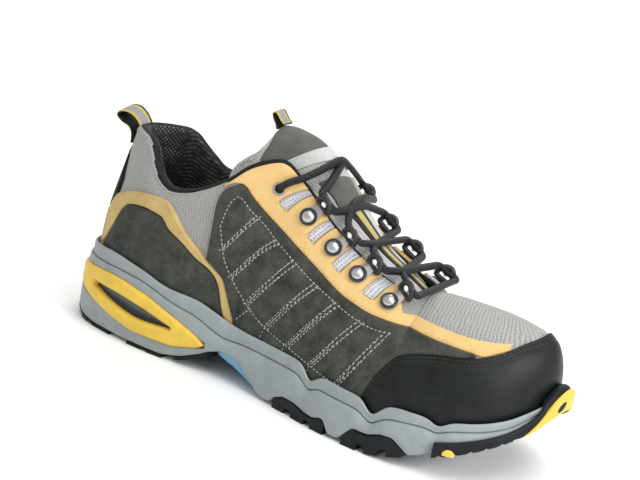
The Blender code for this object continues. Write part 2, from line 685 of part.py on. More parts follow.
def tread_depth(x, lines):
    return np.interp(x, [line for line, _ in lines], [depth for _, depth in lines])


def build_pod(pod):
    """A rubber pod under the midsole, its lugs parted by grooves."""
    along = groove_lines(pod.from_x, pod.to_x, pod.cross_grooves, WALL_SLOPE)
    along += [(row.x, tread_depth(row.x, along)) for row in MIDSOLE_FLOOR if pod.from_x < row.x < pod.to_x]
    along.sort()
    across = groove_lines(-1, 1, LONG_GROOVES, 0.02)
    x = np.array([line for line, _ in along])
    cross_cut = np.array([depth for _, depth in along])[:, None]
    long_cut = np.array([depth for _, depth in across])[None, :]
    depth = np.maximum(cross_cut, long_cut) * pod.depth
    lateral = sole_edge([turn_of(v) for v in x], -tread_inset(x))
    medial = sole_edge([turn_of(v, True) for v in x], -tread_inset(x))
    share = (np.array([line for line, _ in across]) + 1)[None, :, None] / 2
    plan = lateral[:, None] * (1 - share) + medial[:, None] * share
    bottom = np.concatenate([plan, (tread_z(x)[:, None] + depth)[..., None]], -1)
    top_z = np.broadcast_to((midsole_floor_z(x) - POD_CLEARANCE)[:, None, None], bottom.shape[:2] + (1,))
    shell(pod.name, np.concatenate([plan, top_z], -1), bottom, "rubber_black")


BUMPER_STATIONS = (255, 258, 264, 271, 278, 284, 289, 292, 295.5, 297.3, SOLE_LENGTH)


def build_bumper():
    """The rubber wall around the toe: it stands outside the midsole and leans on the toe cap at the tip."""
    turns = around_toe(BUMPER_STATIONS)
    x = station_x(turns)
    foot, rim = tread_z(x) + 0.4, plain_rim_z(x)
    top = bumper_top_z(x)
    over = np.maximum(top - rim, 0)
    lean = np.clip(over / 3, 0, 1)
    profile = [
        (np.full_like(x, GAP), foot),
        (np.full_like(x, BUMPER_THICKNESS - 0.6), foot),
        (np.full_like(x, BUMPER_THICKNESS), (foot + top) / 2),
        (BUMPER_THICKNESS - 0.6 - lean * 1.6, top - 0.6),
        (BUMPER_THICKNESS - 1.4 - lean * 2.6, top),
        (GAP - lean * (UPPER_INSET - WALL - 1.0), top - 0.3),
        (np.full_like(x, GAP), np.minimum(top - 0.6, rim + 0.5)),
    ]
    points = np.stack([sole_point(turns, proud, z) for proud, z in profile], 1)
    swept("toe_bumper", points, "rubber_black")
    build_bumper_insert()


BUMPER_INSERT_STATIONS = (289.5, 291.5, 293.5, 295.5, 297.3, SOLE_LENGTH)


def build_bumper_insert():
    """The yellow tread that shows on the front of the toe, below the bumper's black edge."""
    turns = around_toe(BUMPER_INSERT_STATIONS)
    x = station_x(turns)
    ends = np.clip(np.minimum(np.arange(len(x)), np.arange(len(x))[::-1]) / 2, 0.25, 1)
    foot = tread_z(x) + 0.8
    high = foot + (bumper_top_z(x) - 4.5 - foot) * ends
    z = np.stack([foot, (foot + high) / 2, high], 1)
    around = np.repeat(turns[:, None], 3, 1)
    back = BUMPER_THICKNESS + GAP
    outer = sole_point(around, np.broadcast_to([back + 0.6, back + 1.0, back + 0.6], z.shape), z)
    shell("toe_tread_insert", outer, sole_point(around, back, z), "insert_yellow")


def build_shank():
    """The blue bridge under the arch, bulging below the midsole's floor."""
    across = np.linspace(-1, 1, 5)
    x = np.array(SHANK_STATIONS, float)[:, None]
    y = np.array(SHANK_HALF_WIDTHS, float)[:, None] * across[None, :] - 2
    top = np.broadcast_to(midsole_floor_z(x) - GAP, y.shape)
    belly = np.array(SHANK_BELLY)[:, None] * (1 - 0.35 * across[None, :] ** 2)
    x = np.broadcast_to(x, y.shape)
    shell("arch_shank", np.stack([x, y, top], -1), np.stack([x, y, top - 0.8 - belly], -1), "shank_blue")


def build_insole():
    """The foot bed inside the upper."""
    turns = both_sides(INSOLE_STATIONS)
    x = station_x(turns)
    edge = bed_z(x) + GAP
    dish = INSOLE_THICKNESS + 2.5 * soft_step(120, 20, x)
    loops = [sole_point(turns, -INSOLE_INSET - 1.2, edge + dish),
             sole_point(turns, -INSOLE_INSET, edge + dish - 1.0),
             sole_point(turns, -INSOLE_INSET, edge)]
    stack("insole", loops, "footbed_black")


# The upper and its overlays

def build_upper():
    turns = both_sides(UPPER_STATIONS)
    around = np.repeat(turns[:, None], len(UPPER_SHARES), 1)
    share = np.broadcast_to(UPPER_SHARES, around.shape)
    outer = upper_point(around, share)
    inner = on_upper(around, share, -wall_at(around, share))
    shell("upper", outer, inner, "mesh_grey", wrap=True)


def overlay(name, turns, low, high, rows, finish, lift=OVERLAY_LIFT):
    """A panel on the upper between two edges, given as shares of each rib; rows part the way between them."""
    blend = np.array(rows)[None, :]
    share = np.asarray(low)[:, None] * (1 - blend) + np.asarray(high)[:, None] * blend
    around = np.repeat(np.asarray(turns, float)[:, None], len(rows), 1)
    shell(name, on_upper(around, share, np.full(share.shape, lift + OVERLAY)),
          on_upper(around, share, np.full(share.shape, lift)), finish)


def edge_share(rows, turns):
    """Shares of the ribs at which they reach the edge's height."""
    return share_at_height(turns, column(rows, "at")(station_x(turns)))


SEAM = 0.012
TOE_CAP_ROWS = (0, 0.25, 0.48, 0.68, 0.85, 1)
TOE_CAP_STATIONS = (205.5, 209, 213, 218, 225, 232, 243) + TOE_STATIONS


def build_toe_cap():
    turns = around_toe(TOE_CAP_STATIONS)
    high = edge_share(TOE_CAP_EDGE, turns)
    overlay("toe_cap", turns, np.full(len(turns), SEAM), high, TOE_CAP_ROWS, "leather_black")


def side_turns(stations, medial):
    return np.array([turn_of(x, medial) for x in (stations[::-1] if medial else stations)])


TRIM_STATIONS = HEEL_STATIONS[:4] + (
    11, COUNTER_REAR_X, 19, 24, 29, 38, 49, 57.5, 65, 71.5, 79, 87, 94, 100, 104, COUNTER_FRONT_X, 110,
    TRIM_FRONT_X,
)


TRIM_INNER_SHARE = 0.9


def build_counter():
    """The yellow trim around the heel, and the dark panel that it frames on each side."""
    turns = around_heel(TRIM_STATIONS)
    x = station_x(turns)
    high = edge_share(COUNTER_OUTER, turns)
    middle = np.minimum(edge_share(COUNTER_INNER, turns), high * TRIM_INNER_SHARE)
    middle = np.where(x < COUNTER_REAR_X - 0.1, high * 0.55, middle)
    share = np.stack([np.full_like(high, SEAM), middle / 2, middle, high], 1)
    cell_rear, cell_front = np.minimum(x[:-1], x[1:]), np.maximum(x[:-1], x[1:])
    framed = (cell_rear > COUNTER_REAR_X - 0.1) & (cell_front < COUNTER_FRONT_X + 0.1)
    keep = [[row == 2 or not inside for row in range(3)] for inside in framed]
    around = np.repeat(turns[:, None], 4, 1)
    shell("counter_trim", on_upper(around, share, np.full(share.shape, OVERLAY_LIFT + OVERLAY)),
          on_upper(around, share, np.full(share.shape, OVERLAY_LIFT)), "nubuck_yellow", keep=keep)
    panel = [x + 0.6 * (x == COUNTER_REAR_X) - 0.6 * (x == COUNTER_FRONT_X) for x in TRIM_STATIONS
             if COUNTER_REAR_X <= x <= COUNTER_FRONT_X]
    for side, medial in (("lateral", False), ("medial", True)):
        turns = side_turns(panel, medial)
        outer = edge_share(COUNTER_OUTER, turns)
        top = np.minimum(edge_share(COUNTER_INNER, turns), outer * TRIM_INNER_SHARE) - SEAM
        low = np.full(len(turns), SEAM)
        overlay(f"counter_panel_{side}", turns, low, top, (0, 0.33, 0.67, 1), "suede_charcoal")


def build_heel_strip():
    turns = around_heel(HEEL_STATIONS[:4] + (11,))
    low = share_at_height(turns, column(COUNTER_OUTER, "at")(station_x(turns))) + 2 * SEAM
    high = edge_share(HEEL_STRIP, turns)
    overlay("heel_strip", turns, low, np.maximum(high, low + 0.06), (0, 0.5, 1), "leather_black")


PANEL_STATIONS = (
    PANEL_REAR_X, 93.5, 97.5, 104, COUNTER_FRONT_X, 110, TRIM_FRONT_X + 0.6, TRIM_FRONT_X + 1.2, 122, 130, 139,
    148, 160, 172, 184, 196, 205.5, 209, 213, 218, 225, 232, 243, PANEL_FRONT_X,
)


def build_quarter_panels():
    for side, medial in (("lateral", False), ("medial", True)):
        turns = side_turns(PANEL_STATIONS, medial)
        x = station_x(turns)
        low = np.where(x < TRIM_FRONT_X + 0.9, edge_share(COUNTER_OUTER, turns) + 2 * SEAM, SEAM)
        low = np.where(x > TOE_CAP_STATIONS[0] - 0.1, edge_share(TOE_CAP_EDGE, turns) + SEAM, low)
        corner = edge_share(PANEL_CORNER, turns)
        high = np.maximum(np.minimum(edge_share(EYESTAY_LOW, turns) - SEAM, corner), low + 0.008)
        overlay(f"quarter_panel_{side}", turns, low, high, (0, 0.27, 0.52, 0.76, 1), "suede_charcoal",
                lift=OVERLAY_LIFT + 0.15)


def skewed(turns, shift, medial):
    """The turns of grid columns that lean towards the toe by `shift` millimetres."""
    x = np.minimum(station_x(turns)[:, None] + shift, SOLE_LENGTH)
    turn = np.arccos(1 - 2 * x / SOLE_LENGTH) / np.pi
    return 2 - turn if medial else turn


STRIPE_FROM_X = 213
EYESTAY_STATIONS = (
    94.5, 98, 103, 107, 110, 113.5, 119, 125.4, 131.6, 139, 147.2, 152.5, 159, 165.9, 172.1, 180, 187.4,
    195.3, 201, 206, STRIPE_FROM_X, 218, 225, 232, 243, 254, 264, 272, STRIPE_FRONT_X,
)


def build_eyestays():
    """The yellow eyestay of each side: a tab at each ring, and a stripe that runs on to the toe cap."""
    for side, medial in (("lateral", False), ("medial", True)):
        turns = side_turns(EYESTAY_STATIONS, medial)
        x = station_x(turns)
        low = edge_share(EYESTAY_LOW, turns)
        low = np.where(x > TOE_CAP_STATIONS[0], np.maximum(low, edge_share(TOE_CAP_EDGE, turns) + SEAM), low)
        stripe = np.maximum(edge_share(STRIPE_HIGH, turns), low + SEAM)
        high = np.where(x < STRIPE_FROM_X - 0.1, TAB_END_SHARE, stripe)
        high = np.where(x > 200, np.minimum(high, LAST_TAB_SHARE), high)
        window = np.clip(WINDOW_SHARE, low + 0.004, high - 0.008)
        middle = np.where(x < STRIPE_FROM_X - 0.1, window, (low + high) / 2)
        share = np.stack([low, (low + middle) / 2, middle, (middle + high) / 2, high], 1)
        cell_x = (x[:-1] + x[1:]) / 2
        in_window = [any(first < c < last for first, last in WINDOWS) for c in cell_x]
        keep = [[row < 2 or not is_window for row in range(4)] for is_window in in_window]
        reach = (share - middle[:, None]) / np.maximum(high - middle, 0.01)[:, None]
        around = skewed(turns, column(TAB_LEAN, "at")(x)[:, None] * np.clip(reach, 0, 1), medial)
        shell(f"eyestay_{side}", on_upper(around, share, np.full(share.shape, OVERLAY_LIFT + OVERLAY)),
              on_upper(around, share, np.full(share.shape, OVERLAY_LIFT)), "nubuck_yellow", keep=keep)


def build_tongue():
    rows = {name: np.array([getattr(row, name) for row in TONGUE], float)[:, None] for name in Tongue._fields}
    across = TONGUE_ACROSS[None, :]
    sink = across ** 2
    half_width = rows["half_width"] * np.where(across > 0, MEDIAL_NARROWING, 1)
    outer = np.stack([rows["x"] - rows["edge_back"] * sink, half_width * across,
                      rows["z"] - rows["edge_drop"] * sink], -1)
    along = np.gradient(outer, axis=0)
    sideways = np.gradient(outer, axis=1)
    normal = np.cross(sideways, along)
    normal /= np.linalg.norm(normal, axis=-1, keepdims=True)
    normal *= np.sign(normal[..., 2:])
    thickness = rows["thickness"] * (1 - 0.45 * across ** 4)
    shell("tongue", outer, outer - normal * thickness[..., None], "tongue_grey")


# The eyelets, laces and pull loops

def ring_frame(ring, medial):
    """A point on the eyestay at a ring's rivet, and the ways to the throat, along the row and off the upper."""
    turn = turn_of(ring.x, medial)
    origin = on_upper(turn, ring.share, OVERLAY_LIFT + OVERLAY + GAP)
    normal = upper_normal(turn, ring.share)
    up_rib = upper_point(turn, 1) - upper_point(turn, ring.share)
    up_rib -= normal * (up_rib @ normal)
    up_rib /= np.linalg.norm(up_rib)
    to_toe = np.cross(normal, up_rib) * (1 if medial else -1)
    towards = up_rib * math.cos(RING_TURN) + to_toe * math.sin(RING_TURN)
    return origin, towards, np.cross(normal, towards), normal


def in_frame(frame, local):
    origin, towards, along, normal = frame
    local = np.asarray(local, float)
    return origin + local[..., :1] * towards + local[..., 1:2] * along + local[..., 2:] * normal


def clip_outline():
    """Plan of a clip: round behind the rivet, narrowing to the end that holds the ring."""
    turns = np.linspace(math.radians(70), math.radians(290), 6)
    disc = [(RIVET_RADIUS * math.cos(a), RIVET_RADIUS * math.sin(a)) for a in turns]
    return disc + [(RING_REACH - 2.0, -CLIP_HALF_WIDTH), (RING_REACH - 2.0, CLIP_HALF_WIDTH)]


def build_clip(name, frame):
    plan = clip_outline()
    levels = [np.array([(u, v, h) for u, v in plan]) for h in (0, CLIP_THICKNESS)]
    swept(name, [in_frame(frame, level) for level in levels], "clip_steel")


def build_rivet(name, frame):
    angles = np.linspace(0, 2 * math.pi, 8, endpoint=False)
    base = CLIP_THICKNESS + GAP
    levels = []
    for angle in np.radians((0, 40, 72)):
        radius, height = RIVET_RADIUS * 0.96 * math.cos(angle), RIVET_HEIGHT * math.sin(angle)
        levels.append(np.array([(radius * math.cos(a), radius * math.sin(a), base + height) for a in angles]))
    swept(name, [in_frame(frame, level) for level in levels], "clip_steel")


def ring_path():
    """The wire's middle line in its own plane: a bar along the row and a round bow above it."""
    angles = np.linspace(0, math.pi, 5)
    bow = [(RING_HALF_WIDTH * math.cos(a), 1.6 + (RING_HEIGHT - 1.6) * math.sin(a)) for a in angles]
    return bow + [(-RING_HALF_WIDTH * 0.9, 0), (RING_HALF_WIDTH * 0.9, 0)]


RING_LEAN = 0.55


def build_ring(name, frame):
    """The wire ring that the lace runs through, standing at the end of its clip."""
    upright = math.sqrt(1 - RING_LEAN ** 2)
    path = np.array([(RING_REACH - 0.9 + h * RING_LEAN, v, CLIP_THICKNESS / 2 + h * upright)
                     for v, h in ring_path()])
    across = np.array([upright, 0, -RING_LEAN])
    profiles = []
    for k, point in enumerate(path):
        ahead = path[(k + 1) % len(path)] - path[k - 1]
        side = np.cross(across, ahead / np.linalg.norm(ahead))
        profiles.append([point + RING_WIRE * (math.cos(a) * across + math.sin(a) * side)
                         for a in np.linspace(0, 2 * math.pi, 4, endpoint=False)])
    swept(name, in_frame(frame, np.array(profiles)), "ring_steel", closed=True)


def build_eyelets():
    for side, medial in (("lateral", False), ("medial", True)):
        for number, ring in enumerate(RINGS, 1):
            frame = ring_frame(ring, medial)
            build_clip(f"eyelet_clip_{side}_{number}", frame)
            build_rivet(f"eyelet_rivet_{side}_{number}", frame)
            build_ring(f"eyelet_ring_{side}_{number}", frame)


def tongue_crown(x, y):
    rows = {name: column(TONGUE, name) for name in Tongue._fields}
    crown_x = x
    for _ in range(20):
        sink = np.minimum(np.abs(y) / rows["half_width"](crown_x), 1) ** 2
        crown_x = x + rows["edge_back"](crown_x) * sink
    return rows["z"](crown_x) - rows["edge_drop"](crown_x) * sink


def strand_points(start, end, lift):
    """A strand drawn tight over the tongue from one side to the other."""
    shares = np.linspace(0, 1, 8)
    points = start * (1 - shares[:, None]) + end * shares[:, None]
    rest = np.array([tongue_crown(x, y) for x, y, _ in points]) + LACE_THICKNESS / 2 + LACE_CLEARANCE + lift
    rest[0], rest[-1] = start[2], end[2]
    # Each place is as high as the highest straight line between two places on either side of it
    for i in range(1, 7):
        points[i, 2] = max(np.interp(shares[i], shares[[a, b]], rest[[a, b]])
                           for a in range(i + 1) for b in range(i, 8) if a < b)
    return points


def flat_cord(name, points):
    """A flattened cord along the points, its broad face up."""
    profiles = []
    ahead = np.gradient(points, axis=0)
    for point, way in zip(points, ahead):
        way = way / np.linalg.norm(way)
        side = np.cross((0, 0, 1.0), way)
        side /= np.linalg.norm(side)
        up = np.cross(way, side)
        profiles.append([point + side * LACE_WIDTH / 2 * math.cos(a) + up * LACE_THICKNESS / 2 * math.sin(a)
                         for a in np.linspace(0, 2 * math.pi, LACE_SIDES, endpoint=False)])
    return swept(name, profiles, "lace_black")


def lace_anchor(ring, medial, to_heel):
    """Where a strand ends, just inside its ring; the strand from above keeps to the ring's heel side."""
    apart = LACE_APART * to_heel * (-1 if medial else 1)
    return in_frame(ring_frame(ring, medial), np.array([RING_REACH + LACE_END, apart, 5.2]))


def punched_anchor(medial):
    """The way of a strand over the eyestay's edge and along it into the punched eyelet."""
    on_edge, in_hole = turn_of(PUNCHED_STRAND_X, medial), turn_of(PUNCHED_EYELET.x, medial)
    over = on_upper(on_edge, 0.985, OVERLAY_LIFT + OVERLAY + LACE_THICKNESS)
    halfway = on_upper((on_edge + in_hole) / 2, (0.985 + PUNCHED_EYELET.share) / 2,
                       OVERLAY_LIFT + OVERLAY + LACE_THICKNESS)
    hole = on_upper(in_hole, PUNCHED_EYELET.share, OVERLAY_LIFT + OVERLAY + LACE_THICKNESS / 2 + GAP)
    return over, halfway, hole


def build_laces():
    """A bar across the lowest rings and a crossing between each pair of eyelets above it."""
    low = [lace_anchor(RINGS[-1], medial, -1) for medial in (False, True)]
    flat_cord("lace_bar", strand_points(*low, 0))
    for number, ring in enumerate(RINGS):
        strands = []
        for medial in (False, True):
            start = lace_anchor(ring, medial, 1)
            if number:
                points = strand_points(start, lace_anchor(RINGS[number - 1], not medial, -1), 0.8 * medial)
            else:
                over, halfway, hole = punched_anchor(not medial)
                points = np.vstack([strand_points(start, over, 0.8 * medial), halfway, hole])
            strands.append(flat_cord("falling_strand" if medial else f"lace_crossing_{number + 1}", points))
        union(*strands)


def ribbon(name, bends, width, y, finish):
    """A webbing ribbon of even width through its bends."""
    line = np.array([(bend.x, bend.z) for bend in bends])
    ahead = np.gradient(line, axis=0)
    ahead /= np.linalg.norm(ahead, axis=1, keepdims=True)
    normal = np.stack([-ahead[:, 1], ahead[:, 0]], 1) * RIBBON_THICKNESS / 2
    profiles = []
    for bend, point, off in zip(bends, line, normal):
        corners = ((point - off, -1), (point - off, 1), (point + off, 1), (point + off, -1))
        profiles.append([(x, y + side * width / 2, z + side * bend.tilt / 2) for (x, z), side in corners])
    swept(name, profiles, finish)


def build_pull_loops():
    ribbon("heel_loop", HEEL_LOOP, HEEL_LOOP_WIDTH, -0.5, "webbing_black")
    ribbon("tongue_loop", TONGUE_LOOP, TONGUE_LOOP_WIDTH, 0, "webbing_black")


FINISHES = {
    "mesh_grey": GREY_MESH,
    "tongue_grey": GREY_MESH,
    "suede_charcoal": CHARCOAL_SUEDE,
    "nubuck_yellow": WHEAT_NUBUCK,
    "leather_black": BLACK_LEATHER,
    "midsole_grey": GREY_FOAM,
    "insert_yellow": YELLOW_FOAM,
    "rubber_black": BLACK_RUBBER,
    "shank_blue": BLUE_PLASTIC,
    "footbed_black": BLACK_WEBBING,
    "clip_steel": STEEL,
    "ring_steel": STEEL,
    "lace_black": BLACK_WEBBING,
    "webbing_black": BLACK_WEBBING,
}


def main():
    for existing in list(bpy.data.objects):
        bpy.data.objects.remove(existing)
    build_midsole()
    build_insert("heel_insert")
    build_slot_backs()
    for pod in PODS:
        build_pod(pod)
    build_bumper()
    build_shank()
    build_insole()
    build_upper()
    build_toe_cap()
    build_counter()
    build_heel_strip()
    build_quarter_panels()
    build_eyestays()
    build_tongue()
    build_eyelets()
    build_laces()
    build_pull_loops()


main()
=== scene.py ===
"""The dressed safety shoe: upper, overlays, stitches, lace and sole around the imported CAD, in a plain studio.

Lengths are millimetres in the part's own axes: x from the sole's rear end towards the toe, y from the shoe's
axis with medial +y, and z from the floor. `place` turns them into metres about the middle of the shoe's box.

A place around the shoe is a turn: 0 at the back of the heel, 1 at the tip of the toe along the lateral side,
and on to 2 along the medial side. A place up the upper is a share: 0 at the sole, 1 at the topline.
"""

import math
from collections import namedtuple

import bmesh
import bpy
import numpy as np
from mathutils import Matrix, Vector
from mathutils.kdtree import KDTree


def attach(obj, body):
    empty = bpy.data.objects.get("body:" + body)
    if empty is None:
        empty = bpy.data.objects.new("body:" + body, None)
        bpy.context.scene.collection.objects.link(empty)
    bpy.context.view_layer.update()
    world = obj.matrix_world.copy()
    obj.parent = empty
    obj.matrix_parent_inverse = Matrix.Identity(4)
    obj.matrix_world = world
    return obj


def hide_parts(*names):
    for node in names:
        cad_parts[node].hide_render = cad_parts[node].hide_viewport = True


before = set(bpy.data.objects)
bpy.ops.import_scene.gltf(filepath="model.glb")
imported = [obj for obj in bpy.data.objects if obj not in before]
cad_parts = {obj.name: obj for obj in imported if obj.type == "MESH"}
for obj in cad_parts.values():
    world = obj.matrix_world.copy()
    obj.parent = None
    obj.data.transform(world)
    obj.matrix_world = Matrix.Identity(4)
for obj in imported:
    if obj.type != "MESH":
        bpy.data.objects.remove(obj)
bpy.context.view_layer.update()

MM = 0.001
BOX_MIDDLE = np.array([149.9, -1.0, 0.0])
GAP = 0.35
SIDES = (("lateral", False), ("medial", True))


def table(kind, *rows):
    """Rows of one kind, from plain tuples."""
    return [kind(*row) for row in rows]


# Driving sizes of the sole and of the upper
SOLE_LENGTH = 298.0
UPPER_INSET = 7.2
WALL = 2.2
OVERLAY = 1.4
OVERLAY_LIFT = 0.55
RIM_INNER_INSET = UPPER_INSET - OVERLAY_LIFT - OVERLAY - GAP
RIM_LEAN = 1.6
BUMPER_THICKNESS = 2.4
EDGE_INSET = 0.8
HEEL_FLARE, HEEL_FLARE_X = 2.4, (34, 2)
INSERT_DEPTH = 2.4
INSERT_CROWN = 1.9
INSERT_EDGE = 0.4

Outline = namedtuple("Outline", "x lateral medial")
OUTLINE = table(
    Outline,
    (0, -1, -1),
    (4, -17, 16),
    (14, -28, 25.5),
    (35, -36.5, 33),
    (65, -40, 35.5),
    (100, -38.5, 33),
    (125, -38.5, 33),
    (155, -44, 38),
    (185, -51.5, 45),
    (214, -55, 51),
    (238, -54, 52.5),
    (260, -48, 49.5),
    (279, -35, 41),
    (291, -18, 28.5),
    (SOLE_LENGTH, 6, 6),
)

# Heights along the sole: the tread, the foot bed, the rim of the cup and the groove in its side
Height = namedtuple("Height", "x z")
TREAD = table(
    Height,
    (0, 7.5), (8, 3), (16, 0.8), (25, 0), (76, 0), (88, 2.6), (99, 7), (106, 10), (150, 0), (212, 0),
    (225, 1.8), (240, 5.8), (257, 11.8), (270, 17), (284, 24.5), (292, 31.2), (298, 40),
)
BED = table(
    Height,
    (0, 35.5), (60, 34.5), (95, 28), (130, 23), (160, 21.5), (190, 19.2), (214, 18.5), (240, 20.5),
    (262, 23.5), (282, 29.5), (298, 36),
)
RIM = table(
    Height,
    (0, 44.5), (14, 46.4), (30, 47.4), (46, 45.9), (58, 43.9), (67, 41.6), (76, 40.3), (84, 40.1),
    (91, 39.7), (97, 38.6), (106, 36.2), (116, 33.6), (130, 32.0), (160, 31.8), (190, 29.5), (214, 29),
    (236, 31), (252, 31), (268, 32.5), (284, 36.5), (298, 46),
)
GROOVE = table(
    Height,
    (0, 38), (25, 39.3), (39, 39.7), (51, 39.2), (63, 37.1), (73, 34.4), (82, 32.4), (91, 31.0), (99, 28.5),
    (105, 26.4), (114, 24.4), (130, 25.0), (160, 25), (190, 22.5), (214, 22), (236, 24.5), (252, 26),
    (268, 28), (284, 32), (298, 43.5),
)
MIDSOLE_FLOOR = table(
    Height,
    (0, 10), (6, 6), (14, 3.2), (24, 2.1), (76, 2.1), (88, 4.8), (99, 9.8), (106, 14), (113, 16.5),
    (120, 16), (127, 13), (134, 8), (140, 3.6), (144, 1.8), (151, 1.8), (153.5, 5.5), (160, 8.5),
    (168, 8.5), (176, 6.2), (183, 6.2), (188, 8.4), (191.5, 7), (194, 1.8), (201, 1.8), (203.5, 4.5),
    (209, 11), (218, 10.5), (226, 13.8), (233, 14.2), (239, 10.5), (243, 7.9), (252, 11.3), (255, 14.6),
    (258, 16.4), (271, 21.6), (284, 28), (292, 33.4), (298, 41),
)
BUMPER_TOP = table(Height, (252, 19.5), (266, 23), (278, 27.5), (287, 33), (293, 41), (298, 54.5))

# Valleys between the side lobes of the midsole: how far the rim dips and the wall draws in around each x
Valley = namedtuple("Valley", "x dip draw half_width")
VALLEYS = table(Valley, (175, 6, 1.5, 5.5), (218, 6.5, 1.7, 6), (255, 3, 1.2, 5))

# Sections of the upper, one for each foot_x on the sole's edge: where its rib ends on the topline, the half
# width of the opening there, the medial side's extra height, the rib's handles, and the wall at the top
Section = namedtuple("Section", "foot_x top_x top_y half_gap top_z medial_lift rise swell reach drop "
                     "top_wall")
SECTIONS = table(
    Section,
    (0, 12.5, -0.5, 0, 113, 0, 28, 3.2, 0.5, 24, 7),
    (5, 15, -0.5, 7, 113.2, 0.3, 28, 3.2, 0.5, 24, 7),
    (13, 22, -0.6, 14.5, 113.4, 0.5, 27, 3.0, 0.8, 24, 7),
    (23, 30.5, -0.8, 20.5, 113, 1, 26, 3.0, 1.0, 24, 7),
    (32, 37, -1.0, 24, 109.5, 2.5, 24, 3.0, 1.2, 22, 7),
    (40, 43, -1.1, 26.5, 102, 5, 23, 3.0, 1.3, 20, 7),
    (48, 49.5, -1.2, 28.2, 95.5, 6.5, 21, 3.2, 1.5, 18, 6.8),
    (57, 58, -1.3, 29.5, 92.3, 4.5, 21, 3.2, 1.5, 17, 6.5),
    (68, 69, -1.3, 30.8, 94.6, 2, 22, 3.4, 1.2, 18, 6),
    (82, 82, -1.2, 31.2, 101, 1, 24, 3.5, 1.1, 20, 5.5),
    (95, 93, -1.0, 30.5, 108.5, 1, 26, 3.6, 1.0, 22, 5),
    (112, 107, -0.8, 26.5, 122, 1, 30, 4.5, 3.0, 25, 3.5),
    (122, 120, -0.5, 21, 127.5, 0, 31, 5.0, 6.5, 23, 2.6),
    (135, 133, -0.3, 18.5, 120, 0, 28, 5.0, 10.0, 19, 2.4),
    (160, 157, 0, 17.6, 101.5, 0, 23, 4.5, 13.5, 14, 2.3),
    (185, 182, 0.3, 17, 87.5, 0, 20, 3.5, 16.0, 9, 2.2),
    (205, 202, 0.6, 15.2, 80.8, 0, 18, 2.8, 18.0, 5, 2.2),
    (213, 209, 0.8, 11.5, 80, 0, 18, 2.5, 20.0, 3, 2.2),
    (218, 212.5, 1.0, 6.5, 79.9, 0, 18, 2.4, 23.0, 1.5, 2.2),
    (221, 214, 1.2, 0, 80.4, 0, 21, 2.3, 27.0, 0.5, 2.2),
    (243, 230, 2.2, 0, 80.8, 0, 27, 2.0, 31.0, 0, 2.2),
    (262, 245, 3.4, 0, 80.6, 0, 30, 1.8, 31.0, 0, 2.2),
    (281, 261, 4.6, 0, 79.8, 0, 29, 1.8, 24.0, 0, 2.2),
    (SOLE_LENGTH, 274, 5.6, 0, 78.4, 0, 25, 2.0, 14.0, 0, 2.2),
)
THROAT_BASE_X = 221
PADDING_FROM = 0.35
PADDING_FULL = 0.85

# Panel edges on the upper, by the foot_x of the rib: heights in the side view, or shares of the rib
Edge = namedtuple("Edge", "x at")
TOE_CAP_EDGE = table(
    Edge,
    (205.5, 21), (209, 33), (214, 44), (220, 51.5), (230, 56), (243, 59.5), (255, 61.4), (266, 63.8),
    (277, 67.9), (287, 73.2), (SOLE_LENGTH, 77.2),
)
EYESTAY_LOW = table(
    Edge,
    (94.5, 105.8), (98, 107.9), (103, 109.7), (107, 110), (110, 108.8), (113.5, 105), (119, 99.8),
    (126.5, 95.4), (135, 91.1), (148, 84.6), (162, 77.9), (170, 74), (178, 70.7), (185, 68.8), (198, 66.2),
    (205, 65.8), (218, 65.4), (241, 64.8), (258, 64.6), (267, 64.5), (274, 66.9), (281, 69.8),
)
STRIPE_HIGH = table(
    Edge,
    (199, 71.6), (210, 71.4), (230, 71), (250, 70.6), (262, 70.8), (272, 71.4), (281, 72.4),
)
COUNTER_OUTER = table(
    Edge,
    (0, 63), (4, 64.5), (8, 68.5), (11, 74), (14, 77.6), (18.2, 80), (34, 84.8), (49, 86.8), (57.5, 87),
    (65, 82.6), (71.5, 76.4), (86, 67.2), (98.5, 60.2), (104, 56.6), (110, 45.5), (115, 35),
)
COUNTER_INNER = table(
    Edge,
    (0, 44), (11.5, 47.5), (19, 59.5), (24, 72), (29, 75.7), (44, 78), (56.5, 77), (64, 72), (74, 67.8),
    (87, 61.2), (95, 58.2), (102.5, 51), (106.8, 38), (109.5, 33),
)
PANEL_CORNER = table(Edge, (91.5, 90), (92.2, 94), (93.5, 100.6), (97.5, 106), (104, 109), (110, 112))
COUNTER_REAR_X = 11.5
COUNTER_FRONT_X = 109.5
TRIM_FRONT_X = 115
PANEL_REAR_X = 91.5
PANEL_FRONT_X = 265
STRIPE_FROM_X, STRIPE_FRONT_X = 213, 281
SEAM = 0.012
PANEL_FOOT = SEAM * 0.3
HEEL_STRIP = table(Edge, (0, 102), (3, 99), (7, 91), (11, 84))

# Eyelets: foot_x of each ring's rib, the windows between the eyestay's tabs, and the sizes of the fittings
Ring = namedtuple("Ring", "x share")
RINGS = table(Ring, (145, 0.845), (164, 0.845), (182, 0.83), (204, 0.79))
PUNCHED_EYELET = Ring(124.4, 0.825)
PUNCHED_STRAND_X = 134
WINDOWS = ((125.4, 131.6), (147.2, 152.5), (165.9, 172.1), (187.4, 195.3))
WINDOW_SHARE = 0.745
TAB_END_SHARE = 0.985
LAST_TAB_SHARE, LAST_TAB_X = 0.9, (197, 202)
